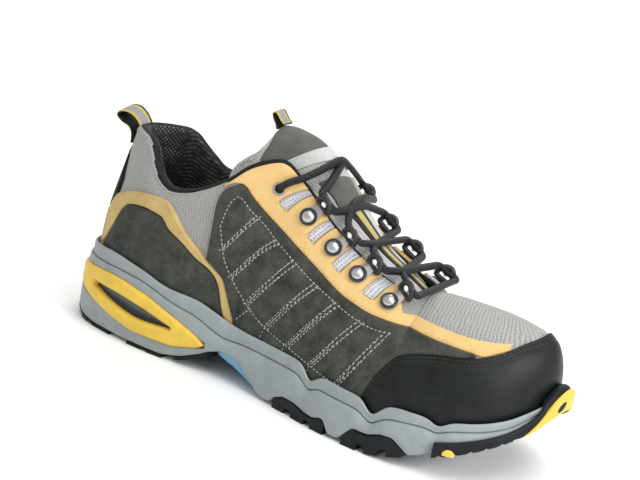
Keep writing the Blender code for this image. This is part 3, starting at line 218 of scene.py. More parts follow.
# How far each rib of the eyestay leans towards the toe at its top
TAB_LEAN = table(
    Edge,
    (110, 0), (125.4, 14.2), (131.6, 10.8), (147.2, 8.6), (159, 7), (172, 6.4), (195.3, 5.4), (206, 2),
    (213, 0),
)
RING_TURN = math.radians(36)
RIVET_RADIUS = 4.4
RIVET_HEIGHT = 2.6
RIVET_RIM_RADIUS = RIVET_RADIUS * 1.12
CLIP_THICKNESS = 1.0
CLIP_HALF_WIDTH = 2.6
RING_REACH = 10.2
RING_WIRE = 1.5
RING_HALF_WIDTH = 4.6
RING_HEIGHT = 7.4
RING_LEAN = 0.55
# Place and half sizes of the white ball in each ring, a painted highlight of the ring's metal
PAINTED_GLINT_AT, PAINTED_GLINT_SIZE = (RING_REACH + 0.5, 0, 4.2), (1.4, 1.7, 2.4)

# Tongue, along its length from the free top to the end under the vamp: crown of its outer face
Tongue = namedtuple("Tongue", "x z half_width edge_drop edge_back thickness")
TONGUE = table(
    Tongue,
    (103.5, 139.0, 10, 7, 2, 3.0),
    (105.5, 140.6, 16, 15, 6, 6.0),
    (112, 142.0, 21, 21.5, 15.5, 8.0),
    (124, 140.0, 24, 33, 34, 8.5),
    (137, 135.0, 25, 36, 34, 8.5),
    (150, 125.0, 26, 35, 24, 8.0),
    (165, 108.6, 26, 27, 17, 7.0),
    (182, 93.8, 25.5, 19.0, 11, 6.0),
    (200, 84.2, 24.5, 14.5, 6, 5.0),
    (212, 76.8, 23, 9.6, 3, 4.0),
    (226, 73.6, 19, 5, 1, 3.0),
)
MEDIAL_NARROWING = 0.88
# How much flatter the crown is between the rings than at the top, and the rows and x where that begins
FLATTER, FLATTER_ROWS, FLATTER_X = 0.8, (4.2, 5.5), (140, 157)

LACE_WIDTH = 4.416
LACE_THICKNESS = 3.6
# How far the lace sinks into the tongue
LACE_SINK = 0.9
# Where the strands end at a ring: beyond its reach, to its heel side or toe side, and off the upper
LACE_END = 3.0
LACE_APART = 6.4
LACE_HEIGHT = 3.4
# The lace's turn through a ring, beyond its reach and towards the heel
LACE_TURN = ((2.8, -3.2), (2.4, -1.6), (2.2, 0.0), (2.4, 1.6), (2.8, 3.2))
LACE_TURN_HEIGHT = 4.0
LACE_SMOOTHING = 7

RIBBON_THICKNESS = 1.3
RIBBON_STEPS = 32
HEEL_LOOP_WIDTH = 12.5
TONGUE_LOOP_WIDTH = 9.0
# Side view of each pull loop's middle line, from its sewn outer end over the top to its inner end; the tilt
# is how much higher the medial border lies
Bend = namedtuple("Bend", "x z tilt")
HEEL_LOOP = table(
    Bend,
    (11.1, 103.4, 0), (10.8, 107.6, 0), (9.6, 111.0, 0.4), (7.0, 113.5, 1.2), (2.8, 115.0, 2.2),
    (-1.2, 117.9, 2.5), (0.9, 120.6, 2.5), (6.2, 121.4, 2.4), (11.2, 119.4, 1.4), (14.6, 116.2, 0.6),
    (16.0, 114.3, 0),
)
TONGUE_LOOP = table(
    Bend,
    (106.4, 142.4, 0), (104.2, 143.6, 0.2), (102.0, 145.8, 0.4), (99.9, 147.6, 0.6), (98.2, 146.6, 0.6),
    (99.0, 144.2, 0.4), (101.0, 141.4, 0.2), (102.2, 138.4, 0),
)

SHANK_STATIONS = (107, 110, 114, 119, 125, 131, 137, 142)
SHANK_HALF_WIDTHS = (28, 32, 33.5, 34, 34.5, 35, 35, 34)
SHANK_BELLY = (1.0, 3.5, 6, 7.5, 7, 5, 2.2, 0.6)

INSOLE_THICKNESS = 4.0
INSOLE_INSET = UPPER_INSET + WALL + 2 * GAP

# The heel insert: edges of the band and of its slot along the side
Insert = namedtuple("Insert", "x low slot_low slot_high high")
INSERT = table(
    Insert,
    (0, 20.6, 26, 26, 31.4),
    (8, 19, 26, 26, 33),
    (20.5, 16.2, 24.2, 26.9, 34.8),
    (36, 12.7, 20.3, 27.0, 35.7),
    (58, 9.1, 17.1, 24.9, 33.1),
    (80, 9.4, 18.5, 20.0, 26.5),
    (92, 11.9, 17, 17, 22.2),
    (102, 14.9, 16.6, 16.6, 18.3),
)
SLOT_FROM_X, SLOT_TO_X = 20.5, 80
INSERT_FRONT_X = 102


# Interpolation

def hermite(knots, values, slope, at):
    """Cubic pieces through the knots, with a slope at each."""
    i = np.clip(np.searchsorted(knots, at, side="right") - 1, 0, len(knots) - 2)
    step = knots[i + 1] - knots[i]
    s = (at - knots[i]) / step
    return ((1 + 2 * s) * (1 - s) ** 2 * values[i] + s * (1 - s) ** 2 * step * slope[i]
            + s * s * (3 - 2 * s) * values[i + 1] - s * s * (1 - s) * step * slope[i + 1])


def smooth(knots, values, flat_ends=False):
    """A monotone cubic through the knots, as a function of an array."""
    knots, values = np.asarray(knots, float), np.asarray(values, float)
    step = np.diff(knots)
    rise = np.diff(values) / step
    slope = np.zeros(len(knots))
    before, after = rise[:-1], rise[1:]
    weight_before, weight_after = 2 * step[1:] + step[:-1], step[1:] + 2 * step[:-1]
    same_way = before * after > 0
    mean = np.where(same_way, weight_before / np.where(same_way, before, 1)
                    + weight_after / np.where(same_way, after, 1), 1)
    slope[1:-1] = np.where(same_way, (weight_before + weight_after) / mean, 0)
    if not flat_ends:
        slope[0], slope[-1] = rise[0], rise[-1]

    return lambda at: hermite(knots, values, slope, np.clip(np.asarray(at, float), knots[0], knots[-1]))


def round_loop(knots, values, period):
    """A smooth closed curve through the knots, as a function of an array."""
    knots, values = np.asarray(knots, float), np.asarray(values, float)
    around = np.concatenate([knots[-2:] - period, knots, knots[:2] + period])
    heights = np.concatenate([values[-2:], values, values[:2]])
    step = np.diff(around)
    rise = np.diff(heights) / step
    slope = np.zeros(len(around))
    slope[1:-1] = (rise[:-1] * step[1:] + rise[1:] * step[:-1]) / (step[1:] + step[:-1])

    return lambda at: hermite(around, heights, slope, np.mod(np.asarray(at, float), period))


def column(rows, name, **options):
    return smooth([row[0] for row in rows], [getattr(row, name) for row in rows], **options)


def soft_step(low, high, at):
    s = np.clip((at - low) / (high - low), 0, 1)
    return s * s * (3 - 2 * s)


# The sole's outline and heights

def turn_of(x, medial=False):
    turn = math.acos(1 - 2 * x / SOLE_LENGTH) / math.pi
    return 2 - turn if medial else turn


def side_share(turn):
    return 1 - np.abs(1 - np.mod(turn, 2))


def station_x(turn):
    return SOLE_LENGTH * (1 - np.cos(np.pi * side_share(turn))) / 2


def outline_loop():
    lateral = [(turn_of(row.x), row.lateral) for row in OUTLINE]
    medial = [(turn_of(row.x, medial=True), row.medial) for row in OUTLINE[-2:0:-1]]
    turns, ys = zip(*(lateral + medial))
    return round_loop(turns, ys, 2)


outline_y = outline_loop()
tread_z = column(TREAD, "z")
bed_z = column(BED, "z")
groove_z = column(GROOVE, "z")
bumper_top_z = column(BUMPER_TOP, "z")
plain_rim_z = column(RIM, "z")


def midsole_floor_z(x):
    """The midsole's underside, straight between the rows of its table."""
    return np.interp(x, [row.x for row in MIDSOLE_FLOOR], [row.z for row in MIDSOLE_FLOOR])


def valley(x, depth):
    return sum(getattr(v, depth) * np.exp(-((x - v.x) / v.half_width) ** 2) for v in VALLEYS)


def rim_z(x):
    return plain_rim_z(x) - valley(x, "dip")


def tread_inset(x):
    """How far the tread's edge lies inside the outline; the heel flares out to the rear."""
    return EDGE_INSET - HEEL_FLARE * soft_step(*HEEL_FLARE_X, x)


def sole_edge(turn, proud):
    """A point `proud` millimetres outside the sole's outline, in plan."""
    tiny = 1e-4
    turn = np.asarray(turn, float)
    along = np.stack([station_x(turn + tiny) - station_x(turn - tiny),
                      outline_y(turn + tiny) - outline_y(turn - tiny)], -1)
    along /= np.linalg.norm(along, axis=-1, keepdims=True)
    outward = np.stack([along[..., 1], -along[..., 0]], -1)
    return np.stack([station_x(turn), outline_y(turn)], -1) + outward * np.asarray(proud)[..., None]


def sole_point(turn, proud, z):
    turn, proud, z = np.broadcast_arrays(np.asarray(turn, float), proud, z)
    return np.concatenate([sole_edge(turn, proud), z[..., None]], -1)


# The upper's surface

def section_column(name):
    shares = [turn_of(row.foot_x) for row in SECTIONS]
    return smooth(shares, [getattr(row, name) for row in SECTIONS], flat_ends=name != "half_gap")


section = {name: section_column(name) for name in Section._fields[1:]}


# How strongly a rib's plane keeps to the outline's own way out
OUTLINE_WEIGHT = 8


def upper_point(turn, share):
    turn, share = np.broadcast_arrays(np.asarray(turn, float), np.asarray(share, float))
    side = side_share(turn)
    row = {name: value(side) for name, value in section.items()}
    medial = np.where(np.mod(turn, 2) > 1, 1, -1)
    foot = sole_point(turn, -UPPER_INSET, bed_z(station_x(turn)) + GAP)
    top = np.stack([row["top_x"], row["top_y"] + medial * row["half_gap"],
                    row["top_z"] + np.where(medial > 0, row["medial_lift"], 0)], -1)
    outward = foot[..., :2] - top[..., :2] + OUTLINE_WEIGHT * (sole_edge(turn, 1) - sole_edge(turn, 0))
    outward /= np.linalg.norm(outward, axis=-1, keepdims=True)
    up = np.array([0, 0, 1.0])
    flat = np.concatenate([outward, np.zeros(outward.shape[:-1] + (1,))], -1)
    lower = foot + up * row["rise"][..., None] + flat * row["swell"][..., None]
    upper = top - up * row["drop"][..., None] + flat * row["reach"][..., None]
    s = share[..., None]
    return foot * (1 - s) ** 3 + 3 * lower * s * (1 - s) ** 2 + 3 * upper * s * s * (1 - s) + top * s ** 3


# The normal is taken no nearer the top edge than this share
NORMAL_LIMIT = 0.985


def upper_normal(turn, share):
    share = np.minimum(np.asarray(share, float), NORMAL_LIMIT)
    turn, share = np.broadcast_arrays(np.asarray(turn, float), share)
    tiny = 2e-3
    forward = upper_point(turn + tiny, share) - upper_point(turn - tiny, share)
    upward = upper_point(turn, np.minimum(share + tiny, 1)) - upper_point(turn, np.maximum(share - tiny, 0))
    normal = np.cross(forward, upward)
    return normal / np.linalg.norm(normal, axis=-1, keepdims=True)


def on_upper(turn, share, proud):
    return upper_point(turn, share) + upper_normal(turn, share) * np.asarray(proud)[..., None]


def share_at_height(turn, z):
    """The share of the rib at which it reaches height z."""
    low, high = np.zeros(np.shape(turn)), np.ones(np.shape(turn))
    for _ in range(40):
        middle = (low + high) / 2
        below = upper_point(turn, middle)[..., 2] < z
        low, high = np.where(below, middle, low), np.where(below, high, middle)
    return (low + high) / 2


def wall_at(turn, share):
    padding = soft_step(PADDING_FROM, PADDING_FULL, share)
    return WALL + (section["top_wall"](side_share(turn)) - WALL) * padding


def edge_share(rows, turns):
    """Shares of the ribs at which they reach the edge's height."""
    return share_at_height(turns, column(rows, "at")(station_x(turns)))


# Mesh makers

def place(points):
    return (np.asarray(points, float).reshape(-1, 3) - BOX_MIDDLE) * MM


def soft_rows(count, gather=0.7):
    """Shares from 0 to 1 that gather towards both ends, where edges are rounded."""
    t = np.linspace(0, 1, count)
    return t - gather * np.sin(2 * np.pi * t) / (2 * np.pi)


def filled(low, high, rows):
    """Values from a low edge to a high one at each of the rows, for every column."""
    low, high = np.broadcast_arrays(low, high)
    return low[:, None] + (high - low)[:, None] * rows


def turn_line(stations, medial):
    return np.array([turn_of(x, medial) for x in stations])


def side_turns(stations, medial):
    turns = turn_line(stations, medial)
    return turns[::-1] if medial else turns


def between(x, low, high):
    """Which cells of a row of stations lie between two of them."""
    return (np.minimum(x[:-1], x[1:]) > low - 0.1) & (np.maximum(x[:-1], x[1:]) < high + 0.1)


def fine_stations(pitch, *knots):
    """Stations no further apart than the pitch, with every knot among them."""
    parts = [np.linspace(a, b, max(2, math.ceil((b - a) / pitch) + 1)) for a, b in zip(knots, knots[1:])]
    return np.unique(np.concatenate(parts))


def merged_turns(stations, more):
    """Turns of the stations along the lateral side and some more turns, in order."""
    return np.array(sorted({turn_of(x) for x in stations} | set(more)))


def around_toe(lateral):
    """Turns on the lateral side, carried round the toe to the same places on the medial side."""
    return np.concatenate([lateral, 2 - lateral[-2::-1]])


def around_heel(lateral):
    """Turns on the lateral side, and before them the same places on the medial side, round the heel."""
    return np.concatenate([-lateral[:0:-1], lateral])


def closed_turns(count, *exact_x):
    """Turns all the way round, evenly spread, with the exact stations among them."""
    lateral = merged_turns(exact_x, np.linspace(0, 1, count))
    return np.concatenate([lateral, 2 - lateral[-2:0:-1]])


def grid_faces(columns, rows, wrap_columns=False, wrap_rows=False):
    i = np.arange(columns if wrap_columns else columns - 1)[:, None]
    j = np.arange(rows if wrap_rows else rows - 1)[None, :]
    ahead, up = (i + 1) % columns * rows, (j + 1) % rows
    corners = np.broadcast_arrays(i * rows + j, ahead + j, ahead + up, i * rows + up)
    return np.stack(corners, -1).reshape(-1, 4)


def add_mesh(name, points, faces, finishes, uv=None, finish_of_face=None, sharp=50):
    """A mesh object from points in millimetres; points that meet become one and faces look outward."""
    mesh = bpy.data.meshes.new(name)
    mesh.from_pydata(place(points).tolist(), [], [list(map(int, face)) for face in faces])
    if finish_of_face is not None:
        mesh.polygons.foreach_set("material_index", np.asarray(finish_of_face, np.int32))
    if uv is not None:
        layer = mesh.uv_layers.new(name="surface_mm")
        corner = np.zeros(len(mesh.loops), np.int32)
        mesh.loops.foreach_get("vertex_index", corner)
        layer.data.foreach_set("uv", np.asarray(uv, np.float32).reshape(-1, 2)[corner].ravel())
    tidy(mesh)
    mesh.shade_smooth()
    mesh.set_sharp_from_angle(angle=math.radians(sharp))
    for finish in finishes if isinstance(finishes, (list, tuple)) else [finishes]:
        mesh.materials.append(finish)
    made = bpy.data.objects.new(name, mesh)
    bpy.context.scene.collection.objects.link(made)
    return made


def tidy(mesh):
    bm = bmesh.new()
    bm.from_mesh(mesh)
    bmesh.ops.remove_doubles(bm, verts=bm.verts, dist=2e-6)
    bmesh.ops.dissolve_degenerate(bm, edges=bm.edges, dist=1e-6)
    bmesh.ops.recalc_face_normals(bm, faces=bm.faces)
    bm.to_mesh(mesh)
    bm.free()


def belongs(made, slot, *nodes):
    """Makes a piece ride on the shoe and hides the CAD nodes that it stands for; the slot argument is not used.
    """
    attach(made, "root")
    if nodes:
        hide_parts(*nodes)


def grid_lengths(points):
    """Distances in millimetres along the columns and up the rows of a grid, as a UV for each point."""
    across = np.linalg.norm(np.diff(points, axis=0), axis=-1)
    up = np.linalg.norm(np.diff(points, axis=1), axis=-1)
    u = np.concatenate([[0], np.cumsum(across[:, points.shape[1] // 2])])
    v = np.concatenate([np.zeros((len(points), 1)), np.cumsum(up, axis=1)], 1)
    return np.stack([np.broadcast_to(u[:, None], v.shape), v], -1)


def kept_edge(points, keep):
    """The points on the border of the kept cells of a grid."""
    columns, rows = points.shape[:2]
    cells = np.zeros((columns + 1, rows + 1), int)
    cells[1:-1, 1:-1] = keep
    around = cells[:-1, :-1] + cells[1:, :-1] + cells[:-1, 1:] + cells[1:, 1:]
    return points[(around > 0) & (around < 4)]


def nearest(points, targets):
    """Distance from each point of a grid to the nearest of the targets."""
    tree = KDTree(len(targets))
    for number, target in enumerate(targets):
        tree.insert(target, number)
    tree.balance()
    flat = points.reshape(-1, 3)
    return np.array([tree.find(point)[2] for point in flat]).reshape(points.shape[:-1])


def pillow(distance, radius):
    """A quarter-round rise from 0 on an edge to 1 at `radius` from it."""
    return np.sqrt(1 - (1 - np.clip(distance / radius, 0, 1)) ** 2)


def all_cells(grid):
    return np.ones((grid.shape[0] - 1, grid.shape[1] - 1), bool)


def two_grids(outer, inner):
    """The points of two equal grids, one after the other."""
    return np.concatenate([outer.reshape(-1, 3), inner.reshape(-1, 3)])


def ball(columns, rows):
    """Points of a unit ball, in columns around it and rows from its top down."""
    around, down = np.linspace(0, 2 * np.pi, columns)[:, None], np.linspace(0, np.pi, rows)[None, :]
    return np.stack([np.cos(around) * np.sin(down), np.sin(around) * np.sin(down),
                     np.cos(down) + 0 * around], -1)


def capped_faces(count, size):
    """Faces of a row of closed rings of points, with a cap on the first and the last."""
    return grid_faces(count, size, wrap_rows=True).tolist() + [
        list(range(size))[::-1], [(count - 1) * size + i for i in range(size)]]


def slab_faces(columns, rows, keep):
    """Faces of a closed slab between two equal grids, the second numbered after the first."""
    front = grid_faces(columns, rows).reshape(columns - 1, rows - 1, 4)[keep]
    count = columns * rows
    rim = {}
    for a, b, c, d in front.tolist():
        for edge in ((a, b), (b, c), (c, d), (d, a)):
            rim[edge] = True
    border = [[b, a, a + count, b + count] for a, b in rim if (b, a) not in rim]
    return front.tolist() + (front[:, ::-1] + count).tolist() + border


PANEL_TOP = OVERLAY_LIFT + OVERLAY
PANEL_SINK = 0.25
PANEL_EDGE = 1.1
SEAM_DEPTH = 0.5
SEAM_WIDTH = 1.5


def panel(name, turns, shares, finish, keep=None, top=PANEL_TOP, edge=PANEL_EDGE, seams=(), puff=0.0):
    """A leather overlay on the upper: rounded at its cut edges, and drawn in along its seams."""
    turns, shares = np.broadcast_arrays(turns, shares)
    keep = all_cells(turns) if keep is None else keep
    base = upper_point(turns, shares)
    rise = pillow(nearest(base, kept_edge(base, keep)), edge)
    height = -PANEL_SINK + (top + PANEL_SINK) * rise
    if seams:
        away = nearest(base, np.concatenate([upper_point(*seam) for seam in seams]))
        height += rise * (puff * soft_step(1.0, 6.0, away) - SEAM_DEPTH * np.exp(-(away / SEAM_WIDTH) ** 2))
    height += rise * handling(base)
    outer = on_upper(turns, shares, height)
    inner = on_upper(turns, shares, np.full(turns.shape, -2 * PANEL_SINK))
    points = two_grids(outer, inner)
    uv = grid_lengths(base)
    faces = slab_faces(*turns.shape, keep)
    used = np.unique(np.concatenate([np.ravel(face) for face in faces]))
    number = np.full(len(points), -1)
    number[used] = np.arange(len(used))
    faces = [[number[c] for c in face] for face in faces]
    return add_mesh(name, points[used], faces, finish, np.concatenate([uv, uv]).reshape(-1, 2)[used])


def handling(points):
    """Soft unevenness of hand-lasted leather, a few tenths of a millimetre."""
    x, y, z = points[..., 0], points[..., 1], points[..., 2]
    return 0.14 * np.sin(x / 9.0 + 0.7 * np.sin(z / 7.0)) * np.sin(z / 8.0 + y / 11.0)


def rib_speed(turn, share):
    """Millimetres of rib for each unit of share."""
    tiny = 1e-3
    share = np.clip(share, tiny, 1 - tiny)
    rise = upper_point(turn, share + tiny) - upper_point(turn, share - tiny)
    return np.linalg.norm(rise, axis=-1) / (2 * tiny)


def shifted(turns, shares, offset):
    """Shares moved up each rib by an offset in millimetres."""
    return shares + offset / rib_speed(turns, shares)


def smooth_path(points, per_span=8, closed=False):
    """A Catmull-Rom curve through the points."""
    points = np.asarray(points, float)
    if closed:
        padded = np.vstack([points[-1:], points, points[:2]])
    else:
        padded = np.vstack([2 * points[:1] - points[1:2], points, 2 * points[-1:] - points[-2:-1]])
    t = np.linspace(0, 1, per_span, endpoint=False)[:, None]
    spans = []
    for a, b, c, d in zip(padded, padded[1:], padded[2:], padded[3:]):
        spans.append(0.5 * (2 * b + (c - a) * t + (2 * a - 5 * b + 4 * c - d) * t ** 2
                            + (3 * b - a - 3 * c + d) * t ** 3))
    return np.vstack(spans if closed else spans + [points[-1:]])


def run_along(path):
    """The distance along a line at each of its points."""
    return np.concatenate([[0], np.cumsum(np.linalg.norm(np.diff(path, axis=0), axis=1))])


def even_path(points, pitch):
    """The same line with points at an even pitch."""
    points = np.asarray(points, float)
    length = run_along(points)
    at = np.linspace(0, length[-1], max(2, int(round(length[-1] / pitch)) + 1))
    return np.stack([np.interp(at, length, points[:, k]) for k in range(3)], 1)


def carried_frames(path, closed=False):
    """Sideways and upward directions along a path, turned as little as possible from point to point."""
    ahead = np.gradient(path, axis=0)
    if closed:
        ahead = np.roll(path, -1, axis=0) - np.roll(path, 1, axis=0)
    ahead /= np.linalg.norm(ahead, axis=1, keepdims=True)
    up = np.zeros_like(path)
    first = np.array([0, 0, 1.0]) if abs(ahead[0][2]) < 0.9 else np.array([1.0, 0, 0])
    up[0] = first - ahead[0] * (first @ ahead[0])
    for k in range(1, len(path)):
        up[k] = up[k - 1] - ahead[k] * (up[k - 1] @ ahead[k])
        up[k] /= np.linalg.norm(up[k])
    up[0] /= np.linalg.norm(up[0])
    return np.cross(up, ahead), up


def tube(path, radius_side, radius_up, sides, closed=False):
    """Points, faces and UVs of a round or oval tube along a path; the UV runs in turns and millimetres."""
    side, up = carried_frames(path, closed)
    angle = np.linspace(0, 2 * np.pi, sides + 1)
    ring = (np.cos(angle)[None, :, None] * side[:, None] * radius_side
            + np.sin(angle)[None, :, None] * up[:, None] * radius_up)
    points = path[:, None] + ring
    faces = grid_faces(len(path), sides + 1, wrap_columns=closed).tolist()
    if not closed:
        last = (len(path) - 1) * (sides + 1)
        faces += [list(range(sides))[::-1], [last + k for k in range(sides)]]
    uv = np.stack(np.broadcast_arrays(angle[None, :] / (2 * np.pi), run_along(path)[:, None]), -1)
    return points.reshape(-1, 3), faces, uv.reshape(-1, 2)


def joined(parts):
    """One set of points, faces and UVs from several."""
    points, faces, uvs, count = [], [], [], 0
    for part_points, part_faces, uv in parts:
        points.append(part_points)
        faces += [[c + count for c in face] for face in part_faces]
        uvs.append(uv)
        count += len(part_points)
    return np.concatenate(points), faces, np.concatenate(uvs)


# Node trees

def feed(tree, socket, value):
    """Gives a socket its value, or links it to the output that feeds it."""
    if isinstance(value, bpy.types.NodeSocket):
        tree.links.new(value, socket)
    else:
        socket.default_value = value


def add_node(tree, kind, inputs=(), **settings):
    made = tree.nodes.new(kind)
    for name, value in settings.items():
        setattr(made, name, value)
    for name, value in dict(inputs).items():
        feed(tree, made.inputs[name], value)
    return made


# Repeated stitches, by Geometry Nodes

STITCH_VARIES = (0.85, 1.12)


def stitch_tree():
    """Threads along the edges of a mesh: a small spindle at each pitch, lying along the line."""
    tree = bpy.data.node_groups.new("stitch_line", "GeometryNodeTree")
    for name, kind in (("Line", "Geometry"), ("Pitch", "Float"), ("Length", "Float"), ("Radius", "Float"),
                       ("Thread", "Material"), ("Seed", "Int")):
        tree.interface.new_socket(name, in_out="INPUT", socket_type=f"NodeSocket{kind}")
    tree.interface.new_socket("Stitches", in_out="OUTPUT", socket_type="NodeSocketGeometry")

    def node(kind, inputs, **settings):
        return add_node(tree, kind, inputs, **settings)

    given = tree.nodes.new("NodeGroupInput").outputs
    line = node("GeometryNodeMeshToCurve", {"Mesh": given["Line"]})
    spots = node("GeometryNodeCurveToPoints", {"Curve": line.outputs["Curve"], "Length": given["Pitch"]},
                 mode="LENGTH").outputs
    ball = node("GeometryNodeMeshUVSphere", {"Segments": 8, "Rings": 5, "Radius": 1.0})
    half = node("ShaderNodeMath", {0: given["Length"], 1: 0.5}, operation="MULTIPLY")
    size = node("ShaderNodeCombineXYZ", {"X": given["Radius"], "Y": given["Radius"], "Z": half.outputs[0]})
    vary = node("FunctionNodeRandomValue", {"Seed": given["Seed"]}, data_type="FLOAT")
    for socket, limit in zip((socket for socket in vary.inputs if socket.type == "VALUE"), STITCH_VARIES):
        socket.default_value = limit
    factor = [socket for socket in vary.outputs if socket.type == "VALUE"][0]
    scaled = node("ShaderNodeVectorMath", {0: size.outputs[0], "Scale": factor}, operation="SCALE")
    copies = node("GeometryNodeInstanceOnPoints", {
        "Points": spots["Points"], "Instance": ball.outputs["Mesh"], "Rotation": spots["Rotation"],
        "Scale": scaled.outputs[0]})
    real = node("GeometryNodeRealizeInstances", {"Geometry": copies.outputs["Instances"]})
    soft = node("GeometryNodeSetShadeSmooth", {"Geometry": real.outputs["Geometry"]})
    finish = node("GeometryNodeSetMaterial",
                  {"Geometry": soft.outputs["Geometry"], "Material": given["Thread"]})
    node("NodeGroupOutput", {"Stitches": finish.outputs["Geometry"]})
    return tree


STITCHES = stitch_tree()


def stitching(name, lines, thread, slot, pitch=2.6, length=1.9, radius=0.32, seed=3):
    """One piece with the stitches along several lines of points in millimetres."""
    points = np.concatenate(lines)
    edges, first = [], 0
    for line in lines:
        edges += [(first + k, first + k + 1) for k in range(len(line) - 1)]
        first += len(line)
    mesh = bpy.data.meshes.new(name + "_line")
    mesh.from_pydata(place(points).tolist(), edges, [])
    carrier = bpy.data.objects.new(name + "_line", mesh)
    bpy.context.scene.collection.objects.link(carrier)
    modifier = carrier.modifiers.new("stitches", "NODES")
    modifier.node_group = STITCHES
    sizes = {"Pitch": pitch * MM, "Length": length * MM, "Radius": radius * MM, "Thread": thread,
             "Seed": seed}
    for socket in STITCHES.interface.items_tree:
        if socket.in_out == "INPUT" and socket.name in sizes:
            modifier[socket.identifier] = sizes[socket.name]
    graph = bpy.context.evaluated_depsgraph_get()
    made = bpy.data.objects.new(name, bpy.data.meshes.new_from_object(carrier.evaluated_get(graph)))
    carrier.modifiers.clear()
    bpy.data.objects.remove(carrier)
    bpy.context.scene.collection.objects.link(made)
    belongs(made, slot)


def seam_line(turns, shares, proud):
    """Points along a seam on the upper, just on top of the leather it draws in."""
    return on_upper(turns, shares, np.full(np.shape(turns), proud))


# Finishes

class Finish:
    """A node material, with patterns from the UV map or from the object's own axes."""

    def __init__(self, name, colour, roughness, **constants):
        self.material = bpy.data.materials.new(name)
        self.material.use_nodes = True
        self.tree = self.material.node_tree
        self.shader = self.tree.nodes["Principled BSDF"]
        self.place = self.tree.nodes.new("ShaderNodeTexCoord")
        self.normal = None
        self.set("Base Color", (*colour, 1))
        self.set("Roughness", roughness)
        for socket, value in constants.items():
            self.set(socket.replace("_", " "), value)

    def set(self, socket, value):
        feed(self.tree, self.shader.inputs[socket], value)

    def node(self, kind, inputs, **settings):
        return add_node(self.tree, kind, inputs, **settings)

    def maths(self, operation, a, b=0.0):
        return self.node("ShaderNodeMath", {0: a, 1: b}, operation=operation).outputs[0]

    def noise(self, size, detail=3.0, rough=0.6):
        """Noise with features of about `size` millimetres."""
        return self.node("ShaderNodeTexNoise", {"Vector": self.place.outputs["Object"], "Scale": 1000 / size,
                                                "Detail": detail, "Roughness": rough}).outputs["Fac"]

    def cells(self, size):
        """Distance to the nearest cell centre, for cells of about `size` millimetres."""
        return self.node("ShaderNodeTexVoronoi", {"Vector": self.place.outputs["Object"],
                                                  "Scale": 1000 / size}).outputs["Distance"]

    def along(self, axis):
        """The UV map's own coordinate in millimetres: 0 along the piece, 1 up it."""
        return self.node("ShaderNodeSeparateXYZ", {0: self.place.outputs["UV"]}).outputs[axis]

    def wave(self, axis, pitch, wander=0.0):
        """A sine from -1 to 1 along the UV map, one period to each pitch; it may wander by some radians."""
        at = self.maths("MULTIPLY", self.along(axis), 2 * math.pi / pitch)
        if wander:
            at = self.maths("ADD", at, self.span(self.noise(5, 2), -wander, wander))
        return self.maths("SINE", at)

    def ramp(self, value, *stops, interpolation="LINEAR"):
        """A colour that follows a value through (position, (r, g, b)) stops."""
        made = self.node("ShaderNodeValToRGB", {"Fac": value})
        made.color_ramp.interpolation = interpolation
        points = made.color_ramp.elements
        while len(points) < len(stops):
            points.new(0.5)
        for point, (at, colour) in zip(points, stops):
            point.position, point.color = at, (*colour, 1)
        return made.outputs["Color"]

    def span(self, value, low, high, from_low=0.0, from_high=1.0):
        """A value mapped from one span to another."""
        return self.node("ShaderNodeMapRange", {"Value": value, "From Min": from_low, "From Max": from_high,
                                                "To Min": low, "To Max": high}).outputs["Result"]

    def mix(self, share, first, second):
        made = self.node("ShaderNodeMix", {"Factor": share}, data_type="RGBA")
        colours = [socket for socket in made.inputs if socket.type == "RGBA"]
        for socket, value in zip(colours, (first, second)):
            feed(self.tree, socket, value if isinstance(value, bpy.types.NodeSocket) else (*value, 1))
        return [socket for socket in made.outputs if socket.type == "RGBA"][0]

    def mottle(self, noise, first, second, low=0.3, high=0.7):
        """A colour that drifts with the noise from one shade to another."""
        self.set("Base Color", self.ramp(noise, (low, first), (high, second)))

    def wear(self, noise, low, high):
        """A roughness that drifts with the noise between two values."""
        self.set("Roughness", self.span(noise, low, high))

    def bump(self, height, depth, strength=1.0):
        """Relief of `depth` millimetres, on top of any relief given before."""
        made = self.node("ShaderNodeBump", {"Height": height, "Distance": depth * MM, "Strength": strength})
        if self.normal is not None:
            self.tree.links.new(self.normal, made.inputs["Normal"])
        self.normal = made.outputs["Normal"]
        self.set("Normal", self.normal)


def shades(colour, dark, light):
    return [tuple(channel * factor for channel in colour) for factor in (dark, light)]


def napped(name, colour, dark, light, nap, sheen, roughness=0.92):
    """Suede or nubuck: brushed patches, fine nap and a dusty sheen."""
    finish = Finish(name, colour, roughness, Sheen_Weight=sheen, Sheen_Roughness=0.5, Specular_IOR_Level=0.2)
    brushed = finish.noise(9, 4)
    fine = finish.noise(0.7, 2)
    both = finish.maths("ADD", finish.maths("MULTIPLY", brushed, 0.6), finish.maths("MULTIPLY", fine, 0.4))
    finish.mottle(both, *shades(colour, dark, light), 0.32, 0.68)
    finish.wear(brushed, roughness - 0.08, min(1.0, roughness + 0.06))
    finish.bump(finish.noise(0.45, 3, 0.7), nap)
    finish.bump(finish.noise(5, 2), nap * 1.5, 0.5)
    return finish.material


def mesh_fabric(name, thread, hole, pitch, depth):
    """Knitted mesh: rows of threads with small dark holes between them, by the UV map in millimetres."""
    finish = Finish(name, thread, 0.9, Sheen_Weight=0.08, Specular_IOR_Level=0.2)
    rows, columns = finish.wave(1, pitch, 5.0), finish.wave(0, pitch * 1.5, 4.0)
    holes = finish.maths("MULTIPLY", finish.span(rows, 0, 1, -1, 1), finish.span(columns, 0, 1, -1, 1))
    stray = finish.maths("MULTIPLY", finish.maths("SUBTRACT", finish.noise(1.4), 0.5), 0.5)
    uneven = finish.maths("ADD", holes, stray)
    finish.set("Base Color", finish.mix(
        finish.span(finish.noise(14, 2), 0.0, 0.22), finish.ramp(uneven, (0.35, thread), (0.85, hole)),
        tuple(channel * 0.75 for channel in thread)))
    finish.bump(finish.maths("SUBTRACT", 1.0, uneven), depth)
    finish.bump(finish.noise(0.5), depth * 0.4, 0.5)
    return finish.material


